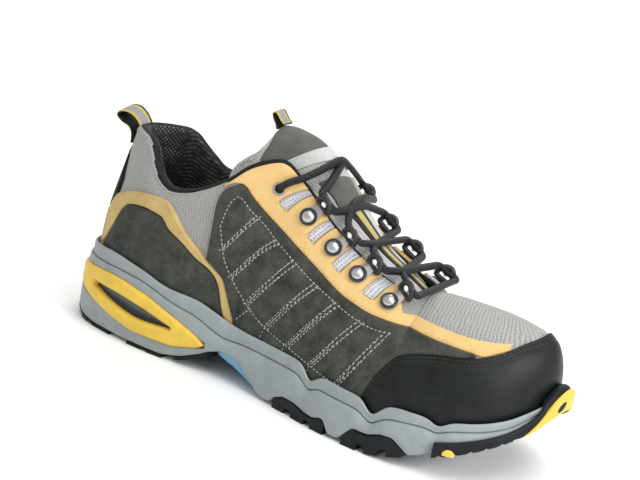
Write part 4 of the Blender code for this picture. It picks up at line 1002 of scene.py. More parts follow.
def spacer_lining():
    """Black spacer mesh of the lining, with small bright flecks in its holes."""
    finish = Finish("lining_black", (0.012, 0.013, 0.013), 0.75, Sheen_Weight=0.08, Specular_IOR_Level=0.3)
    u, v = (finish.maths("MULTIPLY", finish.along(axis), math.pi / 2.6) for axis in (0, 1))
    spots = finish.maths("MULTIPLY", finish.maths("SINE", finish.maths("ADD", u, v)),
                         finish.maths("SINE", finish.maths("SUBTRACT", u, v)))
    spots = finish.maths("ABSOLUTE", spots)
    uneven = finish.maths("MULTIPLY", finish.span(finish.noise(12), 0, 1, 0.36, 0.62),
                          finish.span(finish.noise(2.4), 0, 1, 0.36, 0.56))
    fleck = finish.maths("MULTIPLY", finish.span(spots, 0, 1, 0.5, 0.85), uneven)
    ground = finish.ramp(finish.noise(3), (0.3, (0.006, 0.007, 0.007)), (0.75, (0.028, 0.030, 0.030)))
    finish.set("Base Color", finish.mix(fleck, ground, (0.27, 0.28, 0.27)))
    finish.bump(spots, 0.4)
    return finish.material


def binding():
    finish = Finish("collar_binding", (0.01, 0.011, 0.011), 0.7, Sheen_Weight=0.02, Specular_IOR_Level=0.15)
    finish.mottle(finish.noise(3, 3), (0.006, 0.007, 0.007), (0.02, 0.021, 0.021), 0.3, 0.75)
    finish.bump(finish.noise(0.6, 2), 0.12)
    return finish.material


def smooth_leather(name, colour, gloss):
    """Finished leather: fine grain cells, slight scuffs and a soft gloss."""
    finish = Finish(name, colour, gloss, Specular_IOR_Level=0.28)
    finish.mottle(finish.noise(12, 4), *shades(colour, 0.6, 1.9), 0.35)
    finish.wear(finish.noise(6, 4), gloss - 0.08, gloss + 0.14)
    finish.bump(finish.cells(0.8), 0.10)
    finish.bump(finish.noise(7, 3), 0.25, 0.4)
    return finish.material


def foam(name, colour, roughness, speck):
    """Moulded foam: faint mottling, pinholes and a satin skin."""
    finish = Finish(name, colour, roughness, Specular_IOR_Level=0.4)
    finish.mottle(finish.noise(8, 5), *shades(colour, 0.9, 1.08))
    finish.wear(finish.noise(4, 3), roughness - 0.06, roughness + 0.1)
    finish.bump(finish.noise(0.9, 2), speck)
    return finish.material


def rubber():
    finish = Finish("outsole_rubber", (0.008, 0.009, 0.01), 0.5, Specular_IOR_Level=0.2)
    finish.mottle(finish.noise(6, 5), (0.004, 0.005, 0.006), (0.012, 0.014, 0.016), 0.3, 0.75)
    finish.wear(finish.noise(3, 3), 0.42, 0.62)
    finish.bump(finish.noise(0.6, 3), 0.12)
    return finish.material


def metal(name, colour, roughness, metallic=1.0):
    """Plated steel with faint rubbing marks."""
    finish = Finish(name, colour, roughness, Metallic=metallic)
    finish.mottle(finish.noise(2, 4), *shades(colour, 0.88, 1.06))
    finish.wear(finish.noise(1.2, 4), roughness - 0.04, roughness + 0.06)
    return finish.material


def thread(name, colour):
    finish = Finish(name, colour, 0.8, Sheen_Weight=0.2)
    finish.mottle(finish.noise(1.5, 3), *shades(colour, 0.6, 1.15))
    finish.bump(finish.noise(0.25, 2), 0.05)
    return finish.material


def braided_cord():
    """Round black lace: a diagonal braid with a cool gloss."""
    finish = Finish("lace_braid", (0.008, 0.008, 0.009), 0.45, Specular_IOR_Level=0.35)
    turn = finish.maths("MULTIPLY", finish.along(0), 2 * math.pi * 6)
    run = finish.maths("MULTIPLY", finish.along(1), 2 * math.pi / 1.9)
    braid = finish.maths("MAXIMUM", finish.maths("SINE", finish.maths("ADD", turn, run)),
                         finish.maths("SINE", finish.maths("SUBTRACT", turn, run)))
    finish.mottle(finish.span(braid, 0, 1, -1, 1), (0.002, 0.002, 0.002), (0.012, 0.013, 0.015), 0.2, 0.9)
    finish.wear(finish.noise(2), 0.28, 0.45)
    finish.bump(braid, 0.3)
    return finish.material


def striped_webbing(name, bands):
    """Woven ribbon, with coloured bands across its width by the UV map's first coordinate from 0 to 1."""
    finish = Finish(name, (0.02, 0.02, 0.02), 0.8, Sheen_Weight=0.1)
    stripe = finish.ramp(finish.along(0), *bands, interpolation="CONSTANT")
    weave = finish.maths("MULTIPLY", finish.wave(1, 0.9), finish.wave(0, 1 / 14))
    shade = finish.span(finish.maths("ADD", weave, finish.noise(1.5)), 0.0, 0.35, -1.0, 2.0)
    finish.set("Base Color", finish.mix(shade, stripe, (0.01, 0.01, 0.01)))
    finish.bump(weave, 0.15)
    return finish.material


def glossy_plastic(name, colour, roughness):
    finish = Finish(name, colour, roughness, Coat_Weight=0.3, Coat_Roughness=0.15)
    finish.mottle(finish.noise(10, 4), *shades(colour, 0.85, 1.12))
    finish.wear(finish.noise(3, 3), roughness - 0.05, roughness + 0.1)
    finish.bump(finish.noise(1.2, 2), 0.05)
    return finish.material


def slot_back():
    """The moulded back of the insert's slot, paler in its upper half where it catches the light."""
    finish = Finish("slot_rubber", (0.01, 0.012, 0.011), 0.35, Specular_IOR_Level=0.4)
    shade = finish.maths("ADD", finish.along(1), finish.span(finish.noise(4, 3), -0.12, 0.12))
    finish.mottle(shade, (0.004, 0.005, 0.005), (0.08, 0.09, 0.075), 0.40, 0.6)
    finish.wear(finish.noise(3, 3), 0.25, 0.45)
    return finish.material


BLACK, YELLOW_YARN, PALE_YARN = (0.008, 0.008, 0.008), (0.66, 0.50, 0.09), (0.36, 0.34, 0.37)
LOOP_BANDS = ((0.0, YELLOW_YARN), (0.13, PALE_YARN), (0.66, YELLOW_YARN), (0.82, BLACK))
RIBBON_BANDS = ((0.0, BLACK), (0.30, (0.62, 0.52, 0.18)), (0.70, BLACK))
CREAM_BANDS = ((0.0, (0.50, 0.45, 0.33)), (0.5, (0.54, 0.49, 0.37)))

SUEDE = napped("suede_charcoal", (0.044, 0.047, 0.038), 0.30, 1.85, 0.14, 0.06)
PATCH_SUEDE = napped("tongue_suede", (0.102, 0.104, 0.091), 0.75, 1.25, 0.08, 0.15)
NUBUCK = napped("nubuck_wheat", (0.69, 0.465, 0.19), 0.86, 1.08, 0.06, 0.10)
TRIM_NUBUCK = napped("nubuck_trim", (0.53, 0.385, 0.15), 0.8, 1.12, 0.06, 0.08)
MESH = mesh_fabric("mesh_grey", (0.37, 0.366, 0.355), (0.15, 0.15, 0.15), 1.25, 0.30)
TONGUE_MESH = mesh_fabric("tongue_mesh", (0.52, 0.51, 0.495), (0.27, 0.27, 0.27), 1.3, 0.3)
WINDOW_MESH = mesh_fabric("window_mesh", (0.60, 0.60, 0.65), (0.20, 0.20, 0.23), 1.5, 0.35)
LINING = spacer_lining()
BINDING = binding()
LEATHER = smooth_leather("leather_black", (0.0033, 0.0052, 0.0042), 0.42)
FOAM = foam("midsole_foam", (0.27, 0.30, 0.305), 0.55, 0.04)
INSERT_FOAM = foam("insert_yellow", (0.72, 0.485, 0.06), 0.5, 0.03)
RUBBER = rubber()
SLOT_RUBBER = slot_back()
STEEL = metal("rivet_steel", (0.5, 0.51, 0.52), 0.28)
CLIP_METAL = metal("clip_metal", (0.36, 0.33, 0.325), 0.42, 0.5)
GUNMETAL = metal("ring_gunmetal", (0.03, 0.03, 0.032), 0.3, 0.3)
# White and not metallic: the finish of the painted highlight in each ring
PAINTED_GLINT_FINISH = metal("painted_glint_white", (0.94, 0.94, 0.93), 0.25, 0.0)
BLUE = glossy_plastic("shank_blue", (0.10, 0.30, 0.44), 0.3)
LABEL = metal("label_satin", (0.50, 0.50, 0.49), 0.5, 0.2)
FOOTBED = mesh_fabric("footbed_black", (0.03, 0.03, 0.032), (0.01, 0.01, 0.01), 1.2, 0.2)
PIPING = thread("throat_piping", (0.58, 0.58, 0.62))
GREY_THREAD = thread("thread_grey", (0.36, 0.365, 0.33))
WHEAT_THREAD = thread("thread_wheat", (0.55, 0.34, 0.12))
BLACK_THREAD = thread("thread_black", (0.014, 0.015, 0.015))
LACE = braided_cord()
LOOP_WEBBING = striped_webbing("loop_webbing", LOOP_BANDS)
RIBBON_WEBBING = striped_webbing("tongue_ribbon_webbing", RIBBON_BANDS)
CREAM_WEBBING = striped_webbing("patch_border_webbing", CREAM_BANDS)


# The sole

def even_floor_z(x):
    """The midsole's underside with its corners eased."""
    return np.mean([midsole_floor_z(x + shift) for shift in (-1.2, -0.6, 0, 0.6, 1.2)], axis=0)


insert_edge = {name: column(INSERT, name) for name in Insert._fields[1:]}
POCKET_DEPTH = INSERT_DEPTH + GAP
POCKET_END_X = INSERT_FRONT_X + 1.5


def across_faces(first, size, turned):
    """Faces across a loop of points around the sole, from side to side."""
    faces = []
    for i in range(size // 2):
        face = [i, i + 1, size - i - 1, (size - i) % size]
        face = [first + c for k, c in enumerate(face) if c not in face[:k]]
        faces.append(face[::-1] if turned else face)
    return faces


def stacked_rings(turns, rings):
    """Points and faces of a solid stacked from rings around the sole, each with its inset and heights."""
    loops = np.stack([sole_point(turns, -np.broadcast_to(inset, turns.shape), z) for inset, z in rings])
    count, size = loops.shape[:2]
    faces = grid_faces(count, size, wrap_rows=True).tolist()
    faces += across_faces(0, size, True) + across_faces((count - 1) * size, size, False)
    return loops.reshape(-1, 3), faces


def build_midsole():
    """The foam cup: rim, ledge line, lobes, claws and the pocket behind the heel insert."""
    turns = closed_turns(330)
    x = station_x(turns)
    draw, dip = valley(x, "draw"), valley(x, "dip")
    bed, rim, ledge, floor = bed_z(x), rim_z(x), groove_z(x) - dip * 0.7, even_floor_z(x)
    tread_edge = tread_inset(x) + draw * 0.5
    near = soft_step(POCKET_END_X + 8, POCKET_END_X, x)
    middle = floor + (ledge - floor) * 0.42
    pocket_high = (insert_edge["high"](x) + GAP) * near + (middle + 0.4) * (1 - near)
    pocket_low = (insert_edge["low"](x) - GAP) * near + (middle - 0.4) * (1 - near)
    depth = POCKET_DEPTH * soft_step(POCKET_END_X, POCKET_END_X - 3, x)

    def wall_inset(z):
        """The outer wall bulges slightly between the ledge and the tread."""
        up = np.clip((z - floor) / np.maximum(ledge - 1.2 - floor, 1), 0, 1)
        foot, head = tread_edge, 0.25 + draw
        return foot + (head - foot) * up - 0.9 * np.sin(np.pi * up) * np.clip((ledge - floor) / 12, 0, 1)

    # Each ring's inset and height, from the bed over the rim and down to the tread
    rings = [(RIM_INNER_INSET, bed), (RIM_INNER_INSET - RIM_LEAN * 0.6, (bed + rim) / 2),
             (RIM_INNER_INSET - RIM_LEAN, rim - 1.0), (3.0, rim - 0.35), (2.5, rim), (2.0, rim - 0.15),
             (1.6, rim - 0.7), (1.45 + draw * 0.2, rim - 1.7)]
    rings += [(1.45 + draw * 0.5, ledge + share * (rim - 1.7 - ledge)) for share in (0.6, 0.3)]
    top = ledge - 1.1
    rings += [(1.45 + draw * 0.5, ledge + 0.55), (1.6 + draw * 0.6, ledge + 0.4),
              (2.5 + draw * 0.9, ledge + 0.2), (2.5 + draw, ledge - 0.25), (0.8 + draw, ledge - 0.4),
              (0.4 + draw, ledge - 0.65), (wall_inset(top), top)]
    for share in (0.35, 0.7, 0.93, 1.0):
        z = top + (pocket_high - top) * share
        rings.append((wall_inset(z), z))
    for share in (0, 0.5, 1):
        z = pocket_high + (pocket_low - pocket_high) * share
        rings.append((wall_inset(z) + depth, z))
    for share in (0.0, 0.2, 0.45, 0.7, 0.88):
        z = pocket_low + (floor + 0.5 - pocket_low) * share
        rings.append((wall_inset(z), z))
    rings += [(tread_edge + 0.15, floor + 0.35), (tread_edge + 0.8, floor)]
    made = add_mesh("midsole_cup", *stacked_rings(turns, rings), FOAM, sharp=38)
    belongs(made, "midsole_grey", "midsole")


INSERT_ROUND = 2.2
INSERT_TIP = 5.0


def foam_strip(name, turns, z, keep, radius, back, edge, rise):
    """A yellow strip around the sole: from its back out to its edge, and rising within a radius of that."""
    around = turns[:, None]
    flat = sole_point(around, 0.0, z)
    proud = edge + rise * pillow(nearest(flat, kept_edge(flat, keep)), radius)
    points = two_grids(sole_point(around, proud, z), sole_point(around, back, z))
    return add_mesh(name, points, slab_faces(*z.shape, keep), INSERT_FOAM)


def build_insert():
    """The yellow band around the heel, a full round section with an eye-shaped slot on each side."""
    stations = fine_stations(1.0, 0, SLOT_FROM_X, SLOT_TO_X, INSERT_FRONT_X)
    turns = around_heel(turn_line(stations, False))
    x = station_x(turns)
    tip = np.sqrt(1 - np.clip((x - INSERT_FRONT_X + INSERT_TIP) / INSERT_TIP, 0, 0.99) ** 2)
    centre = (insert_edge["low"](x) + insert_edge["high"](x)) / 2
    edge = {name: centre + (value(x) - centre) * tip for name, value in insert_edge.items()}
    rows = soft_rows(13)
    z = np.concatenate([filled(edge["low"], edge["slot_low"], rows),
                        filled(edge["slot_high"], edge["high"], rows)], 1)
    keep = all_cells(z)
    keep[:, len(rows) - 1] = ~between(x, SLOT_FROM_X, SLOT_TO_X)
    made = foam_strip("heel_insert_band", turns, z, keep, INSERT_ROUND, -INSERT_DEPTH, INSERT_EDGE - 0.5,
                      INSERT_CROWN - INSERT_EDGE + 0.7)
    belongs(made, "insert_yellow", "heel_insert")


def build_slot_backs():
    """The dark, hollow backs of the insert's slots."""
    parts, rows = [], np.linspace(0, 1, 9)
    for _, medial in SIDES:
        turns = side_turns(fine_stations(1.5, SLOT_FROM_X + 0.5, SLOT_TO_X - 0.5), medial)
        x = station_x(turns)
        z = filled(insert_edge["slot_low"](x) - 0.8, insert_edge["slot_high"](x) + 0.8, rows)
        front = sole_point(turns[:, None], -1.2 - 0.9 * np.sin(np.pi * rows), z)
        back = sole_point(turns[:, None], -INSERT_DEPTH - 0.2, z)
        uv = np.stack(np.broadcast_arrays(x[:, None], rows), -1).reshape(-1, 2)
        faces = slab_faces(*z.shape, all_cells(z))
        parts.append((two_grids(front, back), faces, np.concatenate([uv, uv])))
    points, faces, uv = joined(parts)
    made = add_mesh("slot_backs", points, faces, SLOT_RUBBER, uv)
    belongs(made, "rubber_black", "slot_back_lateral", "slot_back_medial")


POD_NODES = ("outsole_heel_rear", "outsole_heel_middle", "outsole_heel_front", "outsole_waist_pod",
             "outsole_ball_pod", "outsole_toe_pod")
POD_EASE = 0.35


def finish_pods():
    """The rubber pods keep their CAD shape, with eased edges and the rubber's own finish."""
    for name in POD_NODES:
        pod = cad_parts[name]
        for slot in pod.material_slots:
            slot.material = RUBBER
        bevel = pod.modifiers.new("eased_edges", "BEVEL")
        bevel.width, bevel.segments, bevel.limit_method = POD_EASE * MM, 2, "ANGLE"


BUMPER_REAR_X = 255
TOE_ROUND_X = 284
CRESCENT_REAR_X = 290
NOTCH_APART = 7.7


def build_bumper():
    """The rubber wall around the toe, thin at its edges, with a notched foot."""
    stations = fine_stations(0.8, BUMPER_REAR_X, TOE_ROUND_X, SOLE_LENGTH)
    turns = around_toe(merged_turns(stations, np.linspace(turn_of(CRESCENT_REAR_X), 1, 22)))
    x = station_x(turns)
    run = run_along(sole_edge(turns, 0))
    notch = 1.2 * np.exp(-((np.mod(run / NOTCH_APART, 1) - 0.5) / 0.10) ** 2)
    foot, rim, top = tread_z(x) + 0.3 + notch, plain_rim_z(x), bumper_top_z(x)
    lean = np.clip(np.maximum(top - rim, 0) / 3, 0, 1)
    thick = BUMPER_THICKNESS
    profile = [
        (GAP, foot), (thick - 0.9, foot), (thick - 0.3, foot + 0.4),
        (thick - 0.05, foot + (top - foot) * 0.25), (thick, (foot + top) / 2),
        (thick - 0.15 - lean * 0.4, foot + (top - foot) * 0.72), (thick - 0.6 - lean * 1.6, top - 0.7),
        (thick - 1.0 - lean * 2.2, top - 0.15), (thick - 1.5 - lean * 2.7, top),
        (GAP - lean * (UPPER_INSET - WALL - 1.0), top - 0.3), (GAP, np.minimum(top - 0.6, rim + 0.5)),
    ]
    points = np.stack([sole_point(turns, proud, z) for proud, z in profile], 1)
    faces = capped_faces(*points.shape[:2])
    made = add_mesh("toe_bumper_wall", points.reshape(-1, 3), faces, RUBBER, sharp=45)
    belongs(made, "rubber_black", "toe_bumper")


CRESCENT_ROUND, CRESCENT_RISE = 1.6, 1.35
Spot = namedtuple("Spot", "turn proud z half_along half_up half_out slant")
CRESCENT_HOLE = Spot(0.9734, 3.3, 44.9, 4.2, 2.3, 0.6, 0.65)
SIDE_LUG = Spot(0.776, 2.1, 15.2, 3.4, 3.3, 0.9, 0.0)


def sole_spot(name, spot, finish, slot):
    """A small rounded button on the lateral side of the sole, flat underneath."""
    tiny, shape = 1e-3, ball(25, 13)
    way = sole_edge(spot.turn + tiny, 0) - sole_edge(spot.turn - tiny, 0)
    way = np.array([*(way / np.linalg.norm(way)), 0])
    outward, up = np.array([way[1], -way[0], 0]), np.array([0, 0, 1.0])
    along = way * math.cos(spot.slant) + up * math.sin(spot.slant)
    rise = up * math.cos(spot.slant) - way * math.sin(spot.slant)
    points = (sole_point(spot.turn, spot.proud, spot.z) + shape[..., :1] * along * spot.half_along
              + shape[..., 1:2] * outward * spot.half_out + shape[..., 2:] * rise * spot.half_up)
    if not spot.slant:
        points[..., 2] = np.maximum(points[..., 2], spot.z - 0.5)
    faces = grid_faces(*shape.shape[:2]).tolist()
    belongs(add_mesh(name, points.reshape(-1, 3), faces, finish), slot)


def build_toe_insert():
    """The yellow crescent on the front of the toe, a thick rounded strip."""
    turns = around_toe(np.linspace(turn_of(CRESCENT_REAR_X), 1, 40))
    x = station_x(turns)
    ends = np.clip(np.minimum(np.arange(len(x)), np.arange(len(x))[::-1]) / 24, 0, 1)
    foot = tread_z(x) + 0.8
    high = foot + np.maximum((bumper_top_z(x) - 1.4 - foot) * np.sin(ends * np.pi / 2) ** 0.8, 0.6)
    z = filled(foot, high, soft_rows(15))
    made = foam_strip("toe_crescent", turns, z, all_cells(z), CRESCENT_ROUND, BUMPER_THICKNESS - 0.6,
                      BUMPER_THICKNESS - 0.2, CRESCENT_RISE)
    belongs(made, "insert_yellow", "toe_tread_insert")
    sole_spot("crescent_holes", CRESCENT_HOLE, RUBBER, "rubber_black")
    sole_spot("toe_side_lugs", SIDE_LUG, INSERT_FOAM, "insert_yellow")


def build_shank():
    """The blue bridge under the arch, a smooth belly between heel and forefoot."""
    x = np.linspace(SHANK_STATIONS[0], SHANK_STATIONS[-1], 40)
    half = smooth(SHANK_STATIONS, SHANK_HALF_WIDTHS)(x)
    belly = smooth(SHANK_STATIONS, SHANK_BELLY)(x)
    across = soft_rows(25, 0.6) * 2 - 1
    y = half[:, None] * across[None, :] - 2
    top = np.broadcast_to((even_floor_z(x) - GAP)[:, None], y.shape)
    section_shape = (1 - 0.35 * across ** 2) * pillow(1 - np.abs(across), 0.12)
    low = top - 0.8 - belly[:, None] * section_shape[None, :]
    x = np.broadcast_to(x[:, None], y.shape)
    points = two_grids(np.stack([x, y, top], -1), np.stack([x, y, low], -1))
    made = add_mesh("arch_bridge", points, slab_faces(*y.shape, all_cells(y)), BLUE)
    belongs(made, "shank_blue", "arch_shank")


def build_insole():
    """The foot bed, dished at the heel, with fabric on top."""
    turns = closed_turns(110)
    x = station_x(turns)
    edge = bed_z(x) + GAP
    dish = INSOLE_THICKNESS + 2.5 * soft_step(120, 20, x)
    rings = [(14.0, edge + dish - 1.8 * soft_step(120, 40, x)), (5.0, edge + dish - 0.5), (1.6, edge + dish),
             (0.5, edge + dish - 0.4), (0.0, edge + dish - 1.2), (0.0, edge)]
    points, faces = stacked_rings(turns, [(INSOLE_INSET + inset, z) for inset, z in rings])
    made = add_mesh("foot_bed", points, faces, FOOTBED, uv=points[:, :2])
    belongs(made, "footbed_black", "insole")


# The upper

COLLAR_BAND = 1.4
THROAT_BAND = 1.3
LIP_STEPS = 9
COLLAR_FRONT_X = 94
WALL_ROWS, BAND_ROWS = 36, 5
# Rows of the lip after which the lining begins, along the throat and along the collar
THROAT_BOUND_ROWS, COLLAR_BOUND_ROWS = 4, 7
# The mesh climbs over the rear of the collar, row by row of the lip, up to these stations
MESH_OVER_LIP = (44, 38, 31)

# Soft folds of the upper: foot_x and share of each, its half lengths along and up, and its depth
Fold = namedtuple("Fold", "x share along up depth medial")
FOLDS = table(
    Fold,
    (226, 0.80, 2.2, 0.30, 0.35, None),
    (233, 0.84, 2.4, 0.26, 0.30, None),
    (76, 0.80, 9, 0.07, 0.5, False),
    (58, 0.84, 12, 0.05, 0.35, False),
    (30, 0.72, 7, 0.10, 0.45, None),
    (80, 0.78, 9, 0.07, 0.5, True),
)


def fold_depth(turns, shares):
    x, medial = station_x(turns), np.mod(turns, 2) > 1
    depth = np.zeros(np.shape(shares))
    for fold in FOLDS:
        here = 1.0 if fold.medial is None else medial == fold.medial
        along, up = (x - fold.x) / fold.along, (shares - fold.share) / fold.up
        depth += here * fold.depth * np.exp(-along ** 2 - up ** 2)
    return depth


def collar_puff(turns, shares):
    """The padded collar swells between its seams."""
    collar = soft_step(112, 96, station_x(turns))
    return 0.9 * collar * np.exp(-((shares - 0.86) / 0.09) ** 2)


def build_upper():
    """One hollow wall: mesh outside, a padded lip at the collar, and spacer lining inside."""
    turns = closed_turns(210, THROAT_BASE_X)
    x = station_x(turns)
    band = THROAT_BAND + (COLLAR_BAND - THROAT_BAND) * soft_step(112, 100, x)
    band_from = 1 - band / np.linalg.norm(upper_point(turns, 1.0) - upper_point(turns, 0.9), axis=-1) * 0.1
    rows = np.concatenate([np.linspace(0, 1, WALL_ROWS + 1)[:-1], 1 + np.linspace(0, 1, BAND_ROWS)])
    shares = np.where(rows[None, :] <= 1, rows[None, :] * band_from[:, None],
                      band_from[:, None] + (rows[None, :] - 1) * (1 - band_from[:, None]))
    around = turns[:, None]
    closed_top = x > THROAT_BASE_X - 0.01
    swell = collar_puff(around, shares) - fold_depth(around, shares)
    rolled = 0.35 * np.sin(np.clip(rows - 1, 0, 1) * np.pi)[None, :] * ~closed_top[:, None]
    outer = on_upper(around, shares, swell + rolled)
    inner = on_upper(around, shares, -wall_at(around, shares))
    mirrored = np.concatenate([[0], np.arange(len(turns) - 1, 0, -1)])
    inner[closed_top, -1] = (inner[closed_top, -1] + inner[mirrored[closed_top], -1]) / 2
    outer[closed_top, -1] = (outer[closed_top, -1] + outer[mirrored[closed_top], -1]) / 2
    lip = collar_lip(outer, inner)
    rings = np.concatenate([outer, lip, inner[:, ::-1]], 1)
    columns, size = rings.shape[:2]
    faces = grid_faces(columns, size, wrap_columns=True, wrap_rows=True).reshape(columns, size, 4)
    keep = np.ones((columns, size), bool)
    gap = closed_top & closed_top[(np.arange(columns) + 1) % columns]
    top, count = len(rows) - 1, lip.shape[1]
    keep[gap, top:top + count + 1] = False
    finish = np.zeros((columns, size), int)
    finish[:, WALL_ROWS:top + count + THROAT_BOUND_ROWS] = 1
    finish[:, top + count + THROAT_BOUND_ROWS:] = 2
    finish[x < COLLAR_FRONT_X, WALL_ROWS:top] = 0
    for step, limit in enumerate(MESH_OVER_LIP):
        finish[x < limit, top + step] = 0
    finish[x < COLLAR_FRONT_X, top + COLLAR_BOUND_ROWS:] = 2
    finish[gap, WALL_ROWS:top] = 0
    uv = grid_lengths(rings)
    made = add_mesh("upper_shell", rings.reshape(-1, 3), faces[keep], [MESH, BINDING, LINING],
                    uv.reshape(-1, 2), finish_of_face=finish[keep], sharp=70)
    belongs(made, "mesh_grey", "upper")


def build_throat_piping():
    """The pale piping around the base of the throat."""
    lateral = np.linspace(turn_of(203), turn_of(THROAT_BASE_X - 0.6), 24)
    turns = np.concatenate([lateral, (2 - lateral)[::-1]])
    shares = 1 - 0.02 * np.ones_like(turns)
    path = even_path(smooth_path(on_upper(turns, shares, np.full(turns.shape, 0.9)), 4), 0.6)
    belongs(add_mesh("throat_base_piping", *tube(path, 1.25, 1.0, 12)[:2], PIPING), "mesh_grey")


def collar_lip(outer, inner):
    """Rounded rows over the topline, from the outer face to the lining."""
    a, b = outer[:, -1], inner[:, -1]
    up = outer[:, -1] - outer[:, -5]
    up /= np.linalg.norm(up, axis=1, keepdims=True)
    up = 0.6 * up + np.array([0, 0, 0.4])
    height = 0.42 * np.linalg.norm(a - b, axis=1, keepdims=True)
    angles = np.linspace(0, np.pi, LIP_STEPS + 2)[1:-1]
    return np.stack([(a + b) / 2 + (a - b) / 2 * math.cos(angle) + up * height * math.sin(angle)
                     for angle in angles], 1)


# Overlays

def build_toe_cap():
    stations = fine_stations(1.2, TOE_CAP_EDGE[0].x, TOE_ROUND_X)
    turns = around_toe(merged_turns(stations, np.linspace(turn_of(TOE_ROUND_X), 1, 30)))
    high = edge_share(TOE_CAP_EDGE, turns)
    shares = filled(PANEL_FOOT, high, soft_rows(40))
    seams = [(turns, np.maximum(shifted(turns, high, -offset), 0.02)) for offset in (2.0, 4.2)]
    made = panel("toe_cap_leather", turns[:, None], shares, LEATHER, seams=seams)
    belongs(made, "leather_black", "toe_cap")
    lines = [seam_line(*seam, PANEL_TOP - SEAM_DEPTH + 0.15) for seam in seams]
    stitching("toe_cap_stitches", lines, BLACK_THREAD, "leather_black", pitch=2.4, length=1.8, radius=0.26)


def counter_grid():
    stations = fine_stations(0.9, 0, COUNTER_REAR_X, COUNTER_FRONT_X, TRIM_FRONT_X)
    turns = around_heel(merged_turns(stations, np.linspace(0, turn_of(8), 12)))
    high = edge_share(COUNTER_OUTER, turns)
    middle = np.minimum(edge_share(COUNTER_INNER, turns), high * 0.93)
    x = station_x(turns)
    ease = soft_step(TRIM_FRONT_X, COUNTER_FRONT_X, x)
    middle = np.where(x > COUNTER_FRONT_X, middle * ease + high * 0.5 * (1 - ease), middle)
    lower, upper = soft_rows(26), soft_rows(10)[1:]
    shares = np.concatenate([filled(PANEL_FOOT, middle, lower), filled(middle, high, upper)], 1)
    framed = ~all_cells(shares)
    framed[:, :len(lower) - 1] = between(x, COUNTER_REAR_X, COUNTER_FRONT_X)[:, None]
    return turns, shares, framed, high


def build_counter():
    """The yellow trim around the heel and the dark panel that it frames on each side."""
    turns, shares, framed, high = counter_grid()
    made = panel("counter_trim_nubuck", turns[:, None], shares, TRIM_NUBUCK, keep=~framed,
                 top=PANEL_TOP + 0.25)
    belongs(made, "nubuck_yellow", "counter_trim")
    half = len(turns) // 2
    for side, columns in (("medial", slice(0, half + 1)), ("lateral", slice(half, None))):
        cells = slice(columns.start, half if side == "medial" else None)
        made = panel(f"counter_suede_{side}", turns[columns, None], shares[columns], SUEDE,
                     keep=framed[cells], top=PANEL_TOP - 0.1, edge=0.8)
        belongs(made, "suede_charcoal", f"counter_panel_{side}")
    line = seam_line(turns, shifted(turns, high, -1.5), PANEL_TOP + 0.2)
    stitching("counter_stitches", [line], WHEAT_THREAD, "nubuck_yellow", pitch=2.4, length=1.7, radius=0.22)


def build_heel_strip():
    turns = around_heel(np.linspace(0, turn_of(HEEL_STRIP[-1].x), 20))
    low = edge_share(COUNTER_OUTER, turns) + SEAM
    high = np.maximum(edge_share(HEEL_STRIP, turns), low + 0.06)
    shares = filled(low, high, soft_rows(26))
    made = panel("heel_strip_leather", turns[:, None], shares, BINDING)
    belongs(made, "leather_black", "heel_strip")


# Seams of the quarter panel, by foot_x and share: two long lines, and double rows like the rungs of a ladder
QUARTER_LOW_SEAM = table(
    Edge,
    (97.5, 0.66), (103, 0.45), (113.7, 0.29), (124.4, 0.205), (136, 0.172), (150, 0.158), (170, 0.14),
    (192, 0.13),
)
QUARTER_HIGH_SEAM = table(
    Edge,
    (97.5, 0.66), (99, 0.73), (101.5, 0.80), (105, 0.82), (109.6, 0.775), (113.7, 0.71), (121.8, 0.62),
    (130.6, 0.588), (147, 0.578), (170, 0.578), (190, 0.57), (211, 0.58),
)
Rung = namedtuple("Rung", "low_x low_share high_x high_share")
RUNGS = table(
    Rung,
    (101, 0.50, 117.2, 0.66),
    (109, 0.34, 131, 0.58),
    (121.5, 0.225, 145, 0.575),
    (136.8, 0.18, 161.5, 0.575),
    (153.4, 0.165, 177, 0.575),
    (171, 0.145, 193.8, 0.575),
    (190.9, 0.14, 210, 0.58),
)
RUNG_APART = 2.8
STUBS = table(
    Rung,
    (117.2, 0.13, 123.9, 0.21), (131.6, 0.05, 135.7, 0.17), (148.2, 0.03, 150.8, 0.15),
    (168.5, 0.03, 170, 0.13), (191.3, 0.05, 190.5, 0.13),
)
QUARTER_TOP = PANEL_TOP + 0.15
# A zigzag's step, and how much longer a rung is than its run along x
ZIGZAG_STEP, RUNG_SLANT = 1.5, 1.6


def zigzag(rung, medial):
    """Slanting stitches to and fro between the two lines of a rung, as points on the panel."""
    steps = int((rung.high_x - rung.low_x) / ZIGZAG_STEP * RUNG_SLANT)
    way = (np.arange(steps) + 0.5) / steps
    side = np.where(np.arange(steps) % 2, 1, -1) * RUNG_APART / 2
    x = rung.low_x + (rung.high_x - rung.low_x) * way + side
    share = rung.low_share + (rung.high_share - rung.low_share) * way
    line = seam_line(turn_line(x, medial), share, QUARTER_TOP - SEAM_DEPTH + 0.35)
    return np.concatenate([(line[:1] + line[1:2]) / 2, line[1:]])


def quarter_seams(medial):
    """Every seam of one quarter panel as turns and shares."""
    seams = []
    for edge in (QUARTER_LOW_SEAM, QUARTER_HIGH_SEAM):
        x = np.linspace(edge[0].x, edge[-1].x, 140)
        seams.append((turn_line(x, medial), column(edge, "at")(x)))
    half = RUNG_APART / 2
    lines = [(rung, apart, 40) for rung in RUNGS for apart in (-half, half)]
    for line, apart, count in lines + [(stub, 0, 10) for stub in STUBS]:
        x = np.linspace(line.low_x, line.high_x, count) + apart
        seams.append((turn_line(x, medial), np.linspace(line.low_share, line.high_share, count)))
    return seams


# The share of a rib by which the panel runs on under its neighbours
TUCKED = 0.004


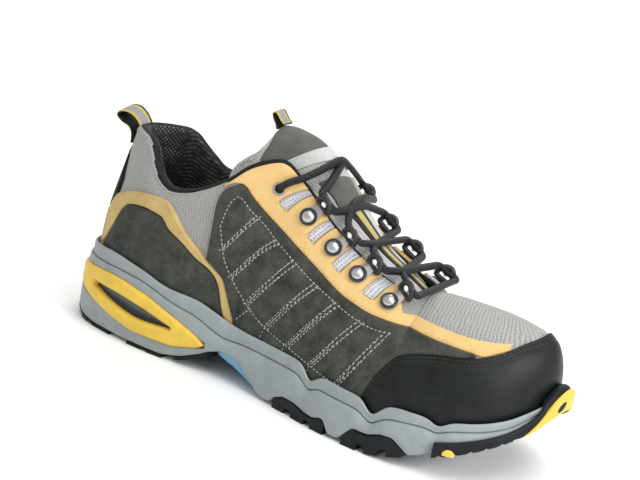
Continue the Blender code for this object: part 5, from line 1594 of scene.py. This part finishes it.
def build_quarter_panels():
    trim_end, cap_from = TRIM_FRONT_X + 0.9, TOE_CAP_EDGE[0].x
    for side, medial in SIDES:
        turns = side_turns(fine_stations(1.0, PANEL_REAR_X, trim_end, cap_from, PANEL_FRONT_X), medial)
        x = station_x(turns)
        low = np.where(x < trim_end + 0.05, edge_share(COUNTER_OUTER, turns) - TUCKED, PANEL_FOOT)
        low = np.where(x > cap_from - 0.1, edge_share(TOE_CAP_EDGE, turns) - TUCKED, low)
        high = np.minimum(edge_share(EYESTAY_LOW, turns) + TUCKED, edge_share(PANEL_CORNER, turns))
        high = np.maximum(high, low + 0.003)
        shares = filled(low, high, soft_rows(64, 0.5))
        seams = quarter_seams(medial)
        made = panel(f"quarter_suede_{side}", turns[:, None], shares, SUEDE, top=QUARTER_TOP, seams=seams,
                     puff=0.5, edge=0.9)
        belongs(made, "suede_charcoal", f"quarter_panel_{side}")
        lines = [seam_line(*seam, QUARTER_TOP - SEAM_DEPTH + 0.2) for seam in seams]
        stitching(f"quarter_stitches_{side}", lines, GREY_THREAD, "suede_charcoal", pitch=2.5, length=1.8,
                  radius=0.36)
        bars = [zigzag(rung, medial) for rung in RUNGS]
        pitch = np.mean([np.linalg.norm(np.diff(bar[1:], axis=0), axis=1).mean() for bar in bars])
        stitching(f"quarter_bars_{side}", bars, GREY_THREAD, "suede_charcoal", pitch=pitch, length=2.0,
                  radius=0.34, seed=5)


WINDOW_CORNER = 0.018


def eyestay_grid(medial):
    """Turns, shares and kept cells of an eyestay: a band, a tab at each ring, and a stripe to the toe cap."""
    windows = [x for window in WINDOWS for x in window]
    x = fine_stations(0.8, EYESTAY_LOW[0].x, *windows, STRIPE_HIGH[0].x, STRIPE_FROM_X, STRIPE_FRONT_X)
    x = x[::-1] if medial else x
    turns = turn_line(x, medial)
    low = edge_share(EYESTAY_LOW, turns)
    low = np.where(x > TOE_CAP_EDGE[0].x, np.maximum(low, edge_share(TOE_CAP_EDGE, turns) + 0.002), low)
    stripe = np.maximum(edge_share(STRIPE_HIGH, turns), low + 0.006)
    tabs = TAB_END_SHARE + (LAST_TAB_SHARE - TAB_END_SHARE) * soft_step(*LAST_TAB_X, x)
    plain = soft_step(STRIPE_FROM_X - 10, STRIPE_FROM_X + 1, x)
    high = np.maximum(tabs + (stripe - tabs) * plain, low + 0.006)
    middle = np.clip(WINDOW_SHARE, low + 0.003, high - 0.003)
    for rear, front in WINDOWS:
        off = np.clip(np.abs(x - (rear + front) / 2) / ((front - rear) / 2), 0, 1)
        corner = WINDOW_CORNER * (1 - np.sqrt(1 - np.clip((off - 0.45) / 0.55, 0, 1) ** 2))
        middle = np.where((x > rear - 0.01) & (x < front + 0.01), middle + corner, middle)
    middle = middle * (1 - plain) + (low + high) / 2 * plain
    rows = soft_rows(22)
    shares = np.concatenate([filled(low, middle, rows), filled(middle, high, rows[1:])], 1)
    cell = (x[:-1] + x[1:]) / 2
    in_window = np.any([(cell > rear) & (cell < front) for rear, front in WINDOWS], axis=0)
    keep = all_cells(shares)
    keep[:, len(rows) - 1:] = ~in_window[:, None]
    reach = np.clip((shares - middle[:, None]) / np.maximum(high - middle, 0.01)[:, None], 0, 1)
    leaned = np.minimum(x[:, None] + column(TAB_LEAN, "at")(x)[:, None] * reach, SOLE_LENGTH)
    around = np.arccos(1 - 2 * leaned / SOLE_LENGTH) / np.pi
    return 2 - around if medial else around, shares, keep, low


def build_eyestays():
    """The yellow eyestay of each side, with its edge stitched down."""
    for side, medial in SIDES:
        around, shares, keep, low = eyestay_grid(medial)
        made = panel(f"eyestay_nubuck_{side}", around, shares, NUBUCK, keep=keep, top=PANEL_TOP + 0.2)
        belongs(made, "nubuck_yellow", f"eyestay_{side}")
        made = panel(f"window_mesh_{side}", around, shares, WINDOW_MESH, keep=~keep, top=0.4, edge=0.3)
        belongs(made, "mesh_grey")
        line = seam_line(around[:, 0], shifted(around[:, 0], low, 1.6), PANEL_TOP + 0.15)
        stitching(f"eyestay_stitches_{side}", [line], WHEAT_THREAD, "nubuck_yellow", pitch=2.3, length=1.7,
                  radius=0.2)


# The tongue

tongue_row = {name: smooth(range(len(TONGUE)), [getattr(row, name) for row in TONGUE])
              for name in Tongue._fields}


def tongue_face(rows, across):
    """A point of the tongue's outer face: rows run from its top, and across from -1 lateral to 1 medial."""
    rows, across = np.broadcast_arrays(np.asarray(rows, float), np.asarray(across, float))
    sink = np.abs(across) ** (2 + FLATTER * soft_step(*FLATTER_ROWS, rows))
    half_width = tongue_row["half_width"](rows) * np.where(across > 0, MEDIAL_NARROWING, 1)
    return np.stack([tongue_row["x"](rows) - tongue_row["edge_back"](rows) * sink, half_width * across,
                     tongue_row["z"](rows) - tongue_row["edge_drop"](rows) * sink], -1)


def tongue_normal(rows, across):
    tiny = 0.02
    along = tongue_face(rows + tiny, across) - tongue_face(rows - tiny, across)
    left, right = np.maximum(across - tiny, -1), np.minimum(across + tiny, 1)
    normal = np.cross(along, tongue_face(rows, right) - tongue_face(rows, left))
    return normal / np.linalg.norm(normal, axis=-1, keepdims=True)


TONGUE_LAST = len(TONGUE) - 1
TONGUE_EDGE = 1.4
TONGUE_SINK = 0.3


def tongue_padding(rows, across):
    """Soft hills and hollows of the padding."""
    return 0.35 * np.sin(rows * 2.3 + 1.1 * across) * np.cos(across * 3.2)


def build_tongue():
    """The padded tongue, full in the middle and thin at its edges."""
    rows = np.concatenate([np.linspace(0, 2, 30)[:-1], np.linspace(2, TONGUE_LAST, 90)])[:, None]
    across = np.sin(np.linspace(-1, 1, 57) * np.pi / 2)[None, :]
    rows, across = np.broadcast_arrays(rows, across)
    face, normal = tongue_face(rows, across), tongue_normal(rows, across)
    thickness = tongue_row["thickness"](rows)
    full = soft_step(1.0, 0.35, np.abs(across)) * pillow(rows, 0.9)
    rolled = pillow(1 - np.abs(across), 0.07) * pillow(rows, 0.4)
    soft = tongue_padding(rows, across) * full
    outer = face + normal * (soft - TONGUE_SINK - TONGUE_EDGE * (1 - rolled))[..., None]
    inner = face - normal * (TONGUE_SINK + TONGUE_EDGE + (thickness - TONGUE_EDGE) * full)[..., None]
    uv = grid_lengths(face)[..., ::-1].reshape(-1, 2)
    made = add_mesh("tongue_pad", two_grids(outer, inner), slab_faces(*rows.shape, all_cells(rows)),
                    TONGUE_MESH, np.concatenate([uv, uv]), sharp=80)
    belongs(made, "tongue_grey", "tongue")


def tongue_patch(name, rows, across, finish, slot="tongue_grey", top=0.9, edge=0.8, droop=(0, 0), flare=0.0,
                 slant=(0, 0), uv_turns=False):
    """A thin piece sewn on the tongue between two rows, which droop to the sides, and two places across."""
    over = np.linspace(*across, 31)[None, :]
    first, last = (row - sag * np.abs(over) for row, sag in zip(rows, droop))
    down = np.linspace(0, 1, 40)[:, None]
    at = first + (last - first) * down
    over = over * (1 + flare * down) + slant[0] * (1 - down) + slant[1] * down
    base, normal = tongue_face(at, over), tongue_normal(at, over)
    soft = tongue_padding(at, over)
    keep = all_cells(at)
    rise = pillow(nearest(base, kept_edge(base, keep)), edge)
    outer = base + normal * (soft - TONGUE_SINK - 0.1 + top * rise)[..., None]
    inner = base + normal * (soft - TONGUE_SINK - 0.5)[..., None]
    uv = grid_lengths(base)
    if uv_turns:
        share = np.broadcast_to(np.linspace(0, 1, at.shape[1])[None, :], at.shape)
        uv = np.stack([share, uv[..., 0]], -1)
    uv = uv.reshape(-1, 2)
    faces = slab_faces(*at.shape, keep)
    belongs(add_mesh(name, two_grids(outer, inner), faces, finish, np.concatenate([uv, uv])), slot)


def build_tongue_trim():
    tongue_patch("tongue_top_patch", (0.45, 3.75), (-0.5, 0.46), PATCH_SUEDE, top=0.7, droop=(0, 0.8),
                 flare=0.62)
    tongue_patch("tongue_label", (3.72, 4.42), (-0.65, 0.6), LABEL, top=1.0, edge=0.5, droop=(0.5, 0.75))
    tongue_patch("tongue_middle_patch", (5.0, 5.9), (-0.54, 0.02), PATCH_SUEDE, top=1.1, edge=0.5,
                 droop=(0.6, 0.4))
    tongue_patch("tongue_patch_border", (5.0, 5.9), (0.0, 0.2), CREAM_WEBBING, edge=0.4)
    tongue_patch("tongue_ribbon", (5.7, 9.3), (-0.17, 0.17), RIBBON_WEBBING, "webbing_black", edge=0.4,
                 slant=(-0.28, 0.22), uv_turns=True)


# Eyelets, laces and pull loops

def ring_frame(ring, medial):
    """A point at a ring's rivet, and the ways to the throat, along the row and off the upper."""
    turn = turn_of(ring.x, medial)
    origin = on_upper(turn, ring.share, OVERLAY_LIFT + OVERLAY + GAP)
    normal = upper_normal(turn, ring.share)
    up_rib = upper_point(turn, 1) - upper_point(turn, ring.share)
    up_rib -= normal * (up_rib @ normal)
    up_rib /= np.linalg.norm(up_rib)
    to_toe = np.cross(normal, up_rib) * (1 if medial else -1)
    towards = up_rib * math.cos(RING_TURN) + to_toe * math.sin(RING_TURN)
    return origin, towards, np.cross(normal, towards), normal


def in_frame(frame_at, local):
    origin, towards, along, normal = frame_at
    local = np.asarray(local, float)
    return origin + local[..., :1] * towards + local[..., 1:2] * along + local[..., 2:] * normal


def bare_part(points, faces):
    """Points and faces with UVs that nothing reads."""
    return points.reshape(-1, 3), faces, np.zeros((points[..., 0].size, 2))


def turned_part(frame_at, profile):
    """A round part about a rivet's axis, from (radius, height) pairs."""
    angles = np.linspace(0, 2 * np.pi, 33)
    local = np.array([[(r * math.cos(a), r * math.sin(a), h) for r, h in profile] for a in angles])
    points = in_frame(frame_at, local)
    return bare_part(points, grid_faces(*points.shape[:2]).tolist())


def rivet_part(frame_at):
    """The bright domed head of a rivet."""
    base, radius = CLIP_THICKNESS, RIVET_RADIUS * 0.84
    dome = [(radius * math.cos(a), base + 0.5 + (RIVET_HEIGHT - 0.2) * math.sin(a))
            for a in np.linspace(0.0, math.pi / 2, 13)]
    return turned_part(frame_at, [(radius, base - 0.1)] + dome)


def rivet_rim_part(frame_at):
    """A black ring around a rivet's head."""
    base, inner, outer = CLIP_THICKNESS, RIVET_RADIUS * 0.8, RIVET_RIM_RADIUS
    middle, half = (inner + outer) / 2, (outer - inner) / 2
    return turned_part(frame_at, [(middle + half * math.cos(a), base + 0.35 + 0.75 * math.sin(a))
                                  for a in np.linspace(-0.6, math.pi + 0.6, 12)])


def painted_glint_part(frame_at):
    """A small white ball in the middle of a ring: a painted highlight standing for the glint on the ring's
    metal.
    """
    local = ball(17, 11) * PAINTED_GLINT_SIZE + PAINTED_GLINT_AT
    return bare_part(in_frame(frame_at, local), grid_faces(*local.shape[:2]).tolist())


def clip_part(frame_at):
    """The strap under the rivet that holds the ring: a round end and straight sides."""
    disc = [(RIVET_RIM_RADIUS * math.cos(a), RIVET_RIM_RADIUS * math.sin(a))
            for a in np.linspace(math.radians(58), math.radians(302), 30)]
    plan = np.array(disc + [(RING_REACH + back, side * CLIP_HALF_WIDTH)
                            for back, side in ((-1.6, -1), (-0.6, -1), (-0.6, 1), (-1.6, 1))])
    levels = [(0.93, 0.0), (1.0, 0.25), (1.0, CLIP_THICKNESS - 0.25), (0.93, CLIP_THICKNESS)]
    centre = np.array([2.5, 0])
    local = np.array([[(*(centre + (p - centre) * grow), h) for p in plan] for grow, h in levels])
    points = in_frame(frame_at, local)
    size = len(plan)
    faces = grid_faces(len(levels), size, wrap_rows=True).tolist()
    faces += [list(range(size)), [(len(levels) - 1) * size + i for i in range(size)][::-1]]
    return bare_part(points, faces)


def ring_part(frame_at):
    """The wire ring at the end of its clip: a bar along the row and a round bow above it."""
    angles = np.linspace(0, math.pi, 9)
    bow = [(RING_HALF_WIDTH * math.cos(a), 1.6 + (RING_HEIGHT - 1.6) * math.sin(a)) for a in angles]
    line = bow + [(-RING_HALF_WIDTH * 0.9, 0), (0, -0.2), (RING_HALF_WIDTH * 0.9, 0)]
    upright = math.sqrt(1 - RING_LEAN ** 2)
    local = [(RING_REACH - 0.9 + h * RING_LEAN, v, CLIP_THICKNESS / 2 + h * upright) for v, h in line]
    path = smooth_path(in_frame(frame_at, local), 5, closed=True)
    return tube(path, RING_WIRE, RING_WIRE, 10, closed=True)


def build_eyelets():
    for kind, part, finish, slot, stands_for in (
            ("rivet", rivet_part, STEEL, "clip_steel", True),
            ("rivet_rim", rivet_rim_part, GUNMETAL, "ring_steel", False),
            ("clip", clip_part, CLIP_METAL, "clip_steel", True),
            ("ring", ring_part, GUNMETAL, "ring_steel", True),
            # The white ball in each ring is a painted highlight
            ("painted_glint", painted_glint_part, PAINTED_GLINT_FINISH, "clip_steel", False)):
        points, faces, uv = joined([part(ring_frame(ring, medial)) for _, medial in SIDES for ring in RINGS])
        nodes = [f"eyelet_{kind}_{side}_{number}" for side, _ in SIDES for number in range(1, len(RINGS) + 1)]
        belongs(add_mesh(f"eyelet_{kind}s", points, faces, finish, uv), slot, *(nodes if stands_for else ()))


crown_row = {name: column(TONGUE, name) for name in Tongue._fields}


def tongue_crown(x, y):
    """Height of the tongue's face at a place seen from above."""
    crown_x = x
    for _ in range(20):
        sink = np.minimum(np.abs(y) / crown_row["half_width"](crown_x), 1) ** (
            2 + FLATTER * soft_step(*FLATTER_X, crown_x))
        crown_x = x + crown_row["edge_back"](crown_x) * sink
    return crown_row["z"](crown_x) - crown_row["edge_drop"](crown_x) * sink


# How far a strand rises where it passes over another, and how far the top pair slides down the tongue
STRAND_OVER = 2.0
TOP_SLIDE = 3.5
# How far along the row a strand has come by its share of the way across; a pair meets near the lateral side
CROSSING_AT = 0.2
CROSSING_WIDTH = 0.13
lace_way = smooth((0, CROSSING_AT, 0.6, 1), (0, 0.5, 0.72, 1))


def strand(start, end, over, slide=0.0):
    """A strand drawn tight over the tongue; one of a pair passes over the other, and both may slide down."""
    shares = np.linspace(0, 1, 19)
    points = start * (1 - shares[:, None]) + end * shares[:, None]
    crossing = 0.5
    if slide:
        points[:, 0] += slide * 4 * shares * (1 - shares)
    elif start[1] < end[1]:
        points[:, 0] = start[0] + (end[0] - start[0]) * lace_way(shares)
        crossing = CROSSING_AT
    else:
        points[:, 0] = end[0] + (start[0] - end[0]) * lace_way(1 - shares)
        crossing = 1 - CROSSING_AT
    rest = np.array([tongue_crown(x, y) for x, y, _ in points]) + LACE_THICKNESS / 2 - LACE_SINK
    rest += STRAND_OVER * over * np.exp(-((shares - crossing) / CROSSING_WIDTH) ** 2)
    rest[0], rest[-1] = start[2], end[2]
    # Each place is as high as the highest straight line between two places on either side of it
    for i in range(1, len(shares) - 1):
        points[i, 2] = max(np.interp(shares[i], shares[[a, b]], rest[[a, b]])
                           for a in range(i + 1) for b in range(i, len(shares)) if a < b)
    return points


def lace_anchor(ring, medial, reach, to_heel, height=LACE_HEIGHT):
    """A place on the lace at its ring: beyond the ring's reach, towards the heel and off the upper."""
    side = to_heel * (-1 if medial else 1)
    return in_frame(ring_frame(ring, medial), np.array([RING_REACH + reach, side, height]))


def through_ring(ring, medial):
    """The turn of the lace through a ring, from its toe side to its heel side."""
    return [lace_anchor(ring, medial, reach, to_heel, LACE_TURN_HEIGHT) for reach, to_heel in LACE_TURN]


def punched_end(medial):
    """The way of a strand over the eyestay's edge, along it and down into the punched eyelet."""
    edge, hole = turn_of(PUNCHED_STRAND_X, medial), turn_of(PUNCHED_EYELET.x, medial)
    drop, half = PUNCHED_EYELET.share - TAB_END_SHARE, LACE_THICKNESS / 2
    steps = ((0.0, 2 * half), (0.5, half + 1.0), (0.85, half + 0.3), (0.97, -0.4), (1.0, -3.0))
    return [on_upper(edge + (hole - edge) * way, TAB_END_SHARE + drop * way, PANEL_TOP + proud)
            for way, proud in steps]


def lace_half(start_medial):
    """Half of the lace, from the middle of the bar to its punched eyelet, crossing over at every pair."""

    def toe_side(ring, medial):
        return lace_anchor(ring, medial, LACE_END, -LACE_APART)

    medial = start_medial
    bar = strand(toe_side(RINGS[-1], not medial), toe_side(RINGS[-1], medial), False)
    points = list(bar[len(bar) // 2:])
    for number in range(len(RINGS) - 1, -1, -1):
        points += through_ring(RINGS[number], medial)
        start = lace_anchor(RINGS[number], medial, LACE_END, LACE_APART)
        if number:
            end = toe_side(RINGS[number - 1], not medial)
            points += list(strand(start, end, (number % 2 == 0) == medial))
        else:
            end = punched_end(not medial)
            points += list(strand(start, end[0], medial, TOP_SLIDE))[:-1] + end
        medial = not medial
    path = even_path(smooth_path(points, 6), 0.7)
    for _ in range(LACE_SMOOTHING):
        path[1:-1] = (path[:-2] + 2 * path[1:-1] + path[2:]) / 4
    return path


def build_laces():
    halves = [tube(lace_half(medial), LACE_WIDTH / 2, LACE_THICKNESS / 2, 14) for _, medial in SIDES]
    points, faces, uv = joined(halves)
    made = add_mesh("lace_cord", points, faces, LACE, uv)
    belongs(made, "lace_black", "lace_bar", *(f"lace_crossing_{number}" for number in range(1, 5)))
    rims, holes = zip(*(punched_eyelet(medial) for _, medial in SIDES))
    for name, parts, finish in (("punched_eyelet_rims", rims, CLIP_METAL),
                                # The dark discs: the black lace going in, with painted shade of the hole
                                ("punched_eyelet_lace_and_painted_shade", holes, RUBBER)):
        points, faces, uv = joined(parts)
        belongs(add_mesh(name, points, faces, finish, uv), "leather_black")


def punched_eyelet(medial):
    """The metal rim of the top eyelet, and within it a flat dark disc: partly the black lace going in, partly
    painted shade of the hole.
    """
    turn = turn_of(PUNCHED_EYELET.x, medial)
    normal = upper_normal(turn, PUNCHED_EYELET.share)
    side = np.cross(normal, (0, 0, 1.0))
    side /= np.linalg.norm(side)
    other = np.cross(normal, side)
    angles = np.linspace(0, 2 * np.pi, 28, endpoint=False)
    circle = np.cos(angles)[:, None] * side + np.sin(angles)[:, None] * other
    centre = on_upper(turn, PUNCHED_EYELET.share, PANEL_TOP + 0.15)
    disc = np.stack([centre + circle * radius + normal * lift
                     for radius, lift in ((2.9, -0.3), (2.9, 0.1), (1.4, 0.12), (0.01, 0.12))])
    faces = grid_faces(*disc.shape[:2], wrap_rows=True).tolist()
    return tube(centre + 3.1 * circle, 0.7, 0.7, 8, closed=True), bare_part(disc, faces)


def ribbon(name, side_view, width, y, node, outside):
    """A webbing ribbon along a side-view line, rounded at its borders: striped outside, and plain dark within
    as painted shade on the loop's inner face.
    """
    line = smooth_path(np.array([(bend.x, y, bend.z) for bend in side_view]), 8)
    tilt = smooth_path(np.array([(bend.tilt, 0, 0) for bend in side_view]), 8)[:, 0]
    ahead = np.gradient(line, axis=0)
    ahead /= np.linalg.norm(ahead, axis=1, keepdims=True)
    normal = np.cross(ahead, (0, 1.0, 0)) * outside
    share = np.linspace(0, 1, RIBBON_STEPS + 1)
    half = RIBBON_THICKNESS / 2 * pillow(np.minimum(share, 1 - share), 0.06)
    profile = list(zip(share, half)) + list(zip(share, -half))[-2:0:-1]
    points = np.array([[point + ((0, (u - 0.5) * width, (u - 0.5) * lift) + off * h) for u, h in profile]
                       for point, off, lift in zip(line, normal, tilt)])
    uv = np.array([[(u, run) for u, _ in profile] for run in run_along(line)])
    count, size = points.shape[:2]
    # Inner faces take the near-black binding finish: painted shade inside the loop
    plain = np.tile(np.arange(size) >= RIBBON_STEPS, count - 1).astype(int).tolist() + [1, 1]
    made = add_mesh(name, points.reshape(-1, 3), capped_faces(count, size), [LOOP_WEBBING, BINDING],
                    uv.reshape(-1, 2), finish_of_face=plain)
    belongs(made, "webbing_black", node)


def build_pull_loops():
    ribbon("heel_pull_webbing", HEEL_LOOP, HEEL_LOOP_WIDTH, -0.5, "heel_loop", 1)
    ribbon("tongue_pull_webbing", TONGUE_LOOP, TONGUE_LOOP_WIDTH, 0.0, "tongue_loop", -1)


# The studio, in metres and watts

FLOOR_REACH = 6.0
SKY_STRENGTH = 0.75
SHOE_MIDDLE = (0, 0, 0.06)
Lamp = namedtuple("Lamp", "name place aim size power")
LAMPS = table(
    Lamp,
    ("overhead_softbox", (0.5, -0.4, 1.4), SHOE_MIDDLE, 1.1, 9),
    ("toe_softbox", (1.35, -0.35, 0.75), SHOE_MIDDLE, 0.6, 13),
    ("rear_softbox", (-0.5, 1.7, 1.7), (-0.3, 0.7, 0), 1.8, 20),
)


def build_floor():
    finish = Finish("studio_floor", (0.93, 0.93, 0.93), 0.9, Specular_IOR_Level=0.1)
    finish.mottle(finish.noise(400, 2), (0.92, 0.92, 0.92), (0.94, 0.94, 0.94))
    mesh = bpy.data.meshes.new("studio_floor")
    corners = [(x * FLOOR_REACH, y * FLOOR_REACH, 0) for x, y in ((-1, -1), (1, -1), (1, 1), (-1, 1))]
    mesh.from_pydata(corners, [], [(0, 1, 2, 3)])
    mesh.materials.append(finish.material)
    floor = bpy.data.objects.new("studio_floor", mesh)
    bpy.context.scene.collection.objects.link(floor)


def build_lights():
    world = bpy.data.worlds.new("studio")
    bpy.context.scene.world = world
    world.use_nodes = True
    sky = world.node_tree.nodes["Background"]
    sky.inputs["Color"].default_value = (1.0, 1.0, 1.0, 1)
    sky.inputs["Strength"].default_value = SKY_STRENGTH
    for lamp in LAMPS:
        light = bpy.data.lights.new(lamp.name, "AREA")
        light.shape, light.size, light.energy = "SQUARE", lamp.size, lamp.power
        made = bpy.data.objects.new(lamp.name, light)
        made.location = lamp.place
        made.rotation_mode = "QUATERNION"
        made.rotation_quaternion = (Vector(lamp.aim) - Vector(lamp.place)).to_track_quat("-Z", "Y")
        bpy.context.scene.collection.objects.link(made)


# The photo's camera: turned from the shoe's side, looking down, rolled, and its distance from the aim
CAMERA_TURN, CAMERA_DOWN, CAMERA_ROLL = (math.radians(a) for a in (26.4, 18.0, 12.1))
CAMERA_DISTANCE = 1101.0
CAMERA_AIM = np.array([156.0, 0.0, 55.0])
FOCAL_PIXELS = 1987.0
PICTURE_WIDTH, PICTURE_HEIGHT = 640, 480
AIM_PIXEL = (333.1, 300.2)
SENSOR_WIDTH = 36.0


def build_camera():
    level = np.array([math.cos(CAMERA_TURN), math.sin(CAMERA_TURN), 0])
    forward = np.array([-math.sin(CAMERA_TURN), math.cos(CAMERA_TURN), 0])
    ahead = forward * math.cos(CAMERA_DOWN) - np.array([0, 0, math.sin(CAMERA_DOWN)])
    rise = np.cross(level, ahead)
    right = level * math.cos(CAMERA_ROLL) + rise * math.sin(CAMERA_ROLL)
    up = -level * math.sin(CAMERA_ROLL) + rise * math.cos(CAMERA_ROLL)
    data = bpy.data.cameras.new("photo_camera")
    data.sensor_width = SENSOR_WIDTH
    data.lens = FOCAL_PIXELS / PICTURE_WIDTH * SENSOR_WIDTH
    data.clip_start, data.clip_end = 0.05, 30
    data.shift_x = -(AIM_PIXEL[0] - PICTURE_WIDTH / 2) / PICTURE_WIDTH
    data.shift_y = (AIM_PIXEL[1] - PICTURE_HEIGHT / 2) / PICTURE_WIDTH
    camera = bpy.data.objects.new("photo_camera", data)
    turned = Matrix((right, up, -ahead)).transposed().to_4x4()
    turned.translation = Vector((CAMERA_AIM - BOX_MIDDLE - ahead * CAMERA_DISTANCE) * MM)
    camera.matrix_world = turned
    bpy.context.scene.collection.objects.link(camera)
    bpy.context.scene.camera = camera
    view = bpy.context.scene.view_settings
    view.view_transform, view.look, view.exposure = "Standard", "None", 0.0


def main():
    build_midsole()
    build_insert()
    build_slot_backs()
    finish_pods()
    build_bumper()
    build_toe_insert()
    build_shank()
    build_insole()
    build_upper()
    build_throat_piping()
    build_toe_cap()
    build_counter()
    build_heel_strip()
    build_quarter_panels()
    build_eyestays()
    build_tongue()
    build_tongue_trim()
    build_eyelets()
    build_laces()
    build_pull_loops()
    build_floor()
    build_lights()
    build_camera()


main()
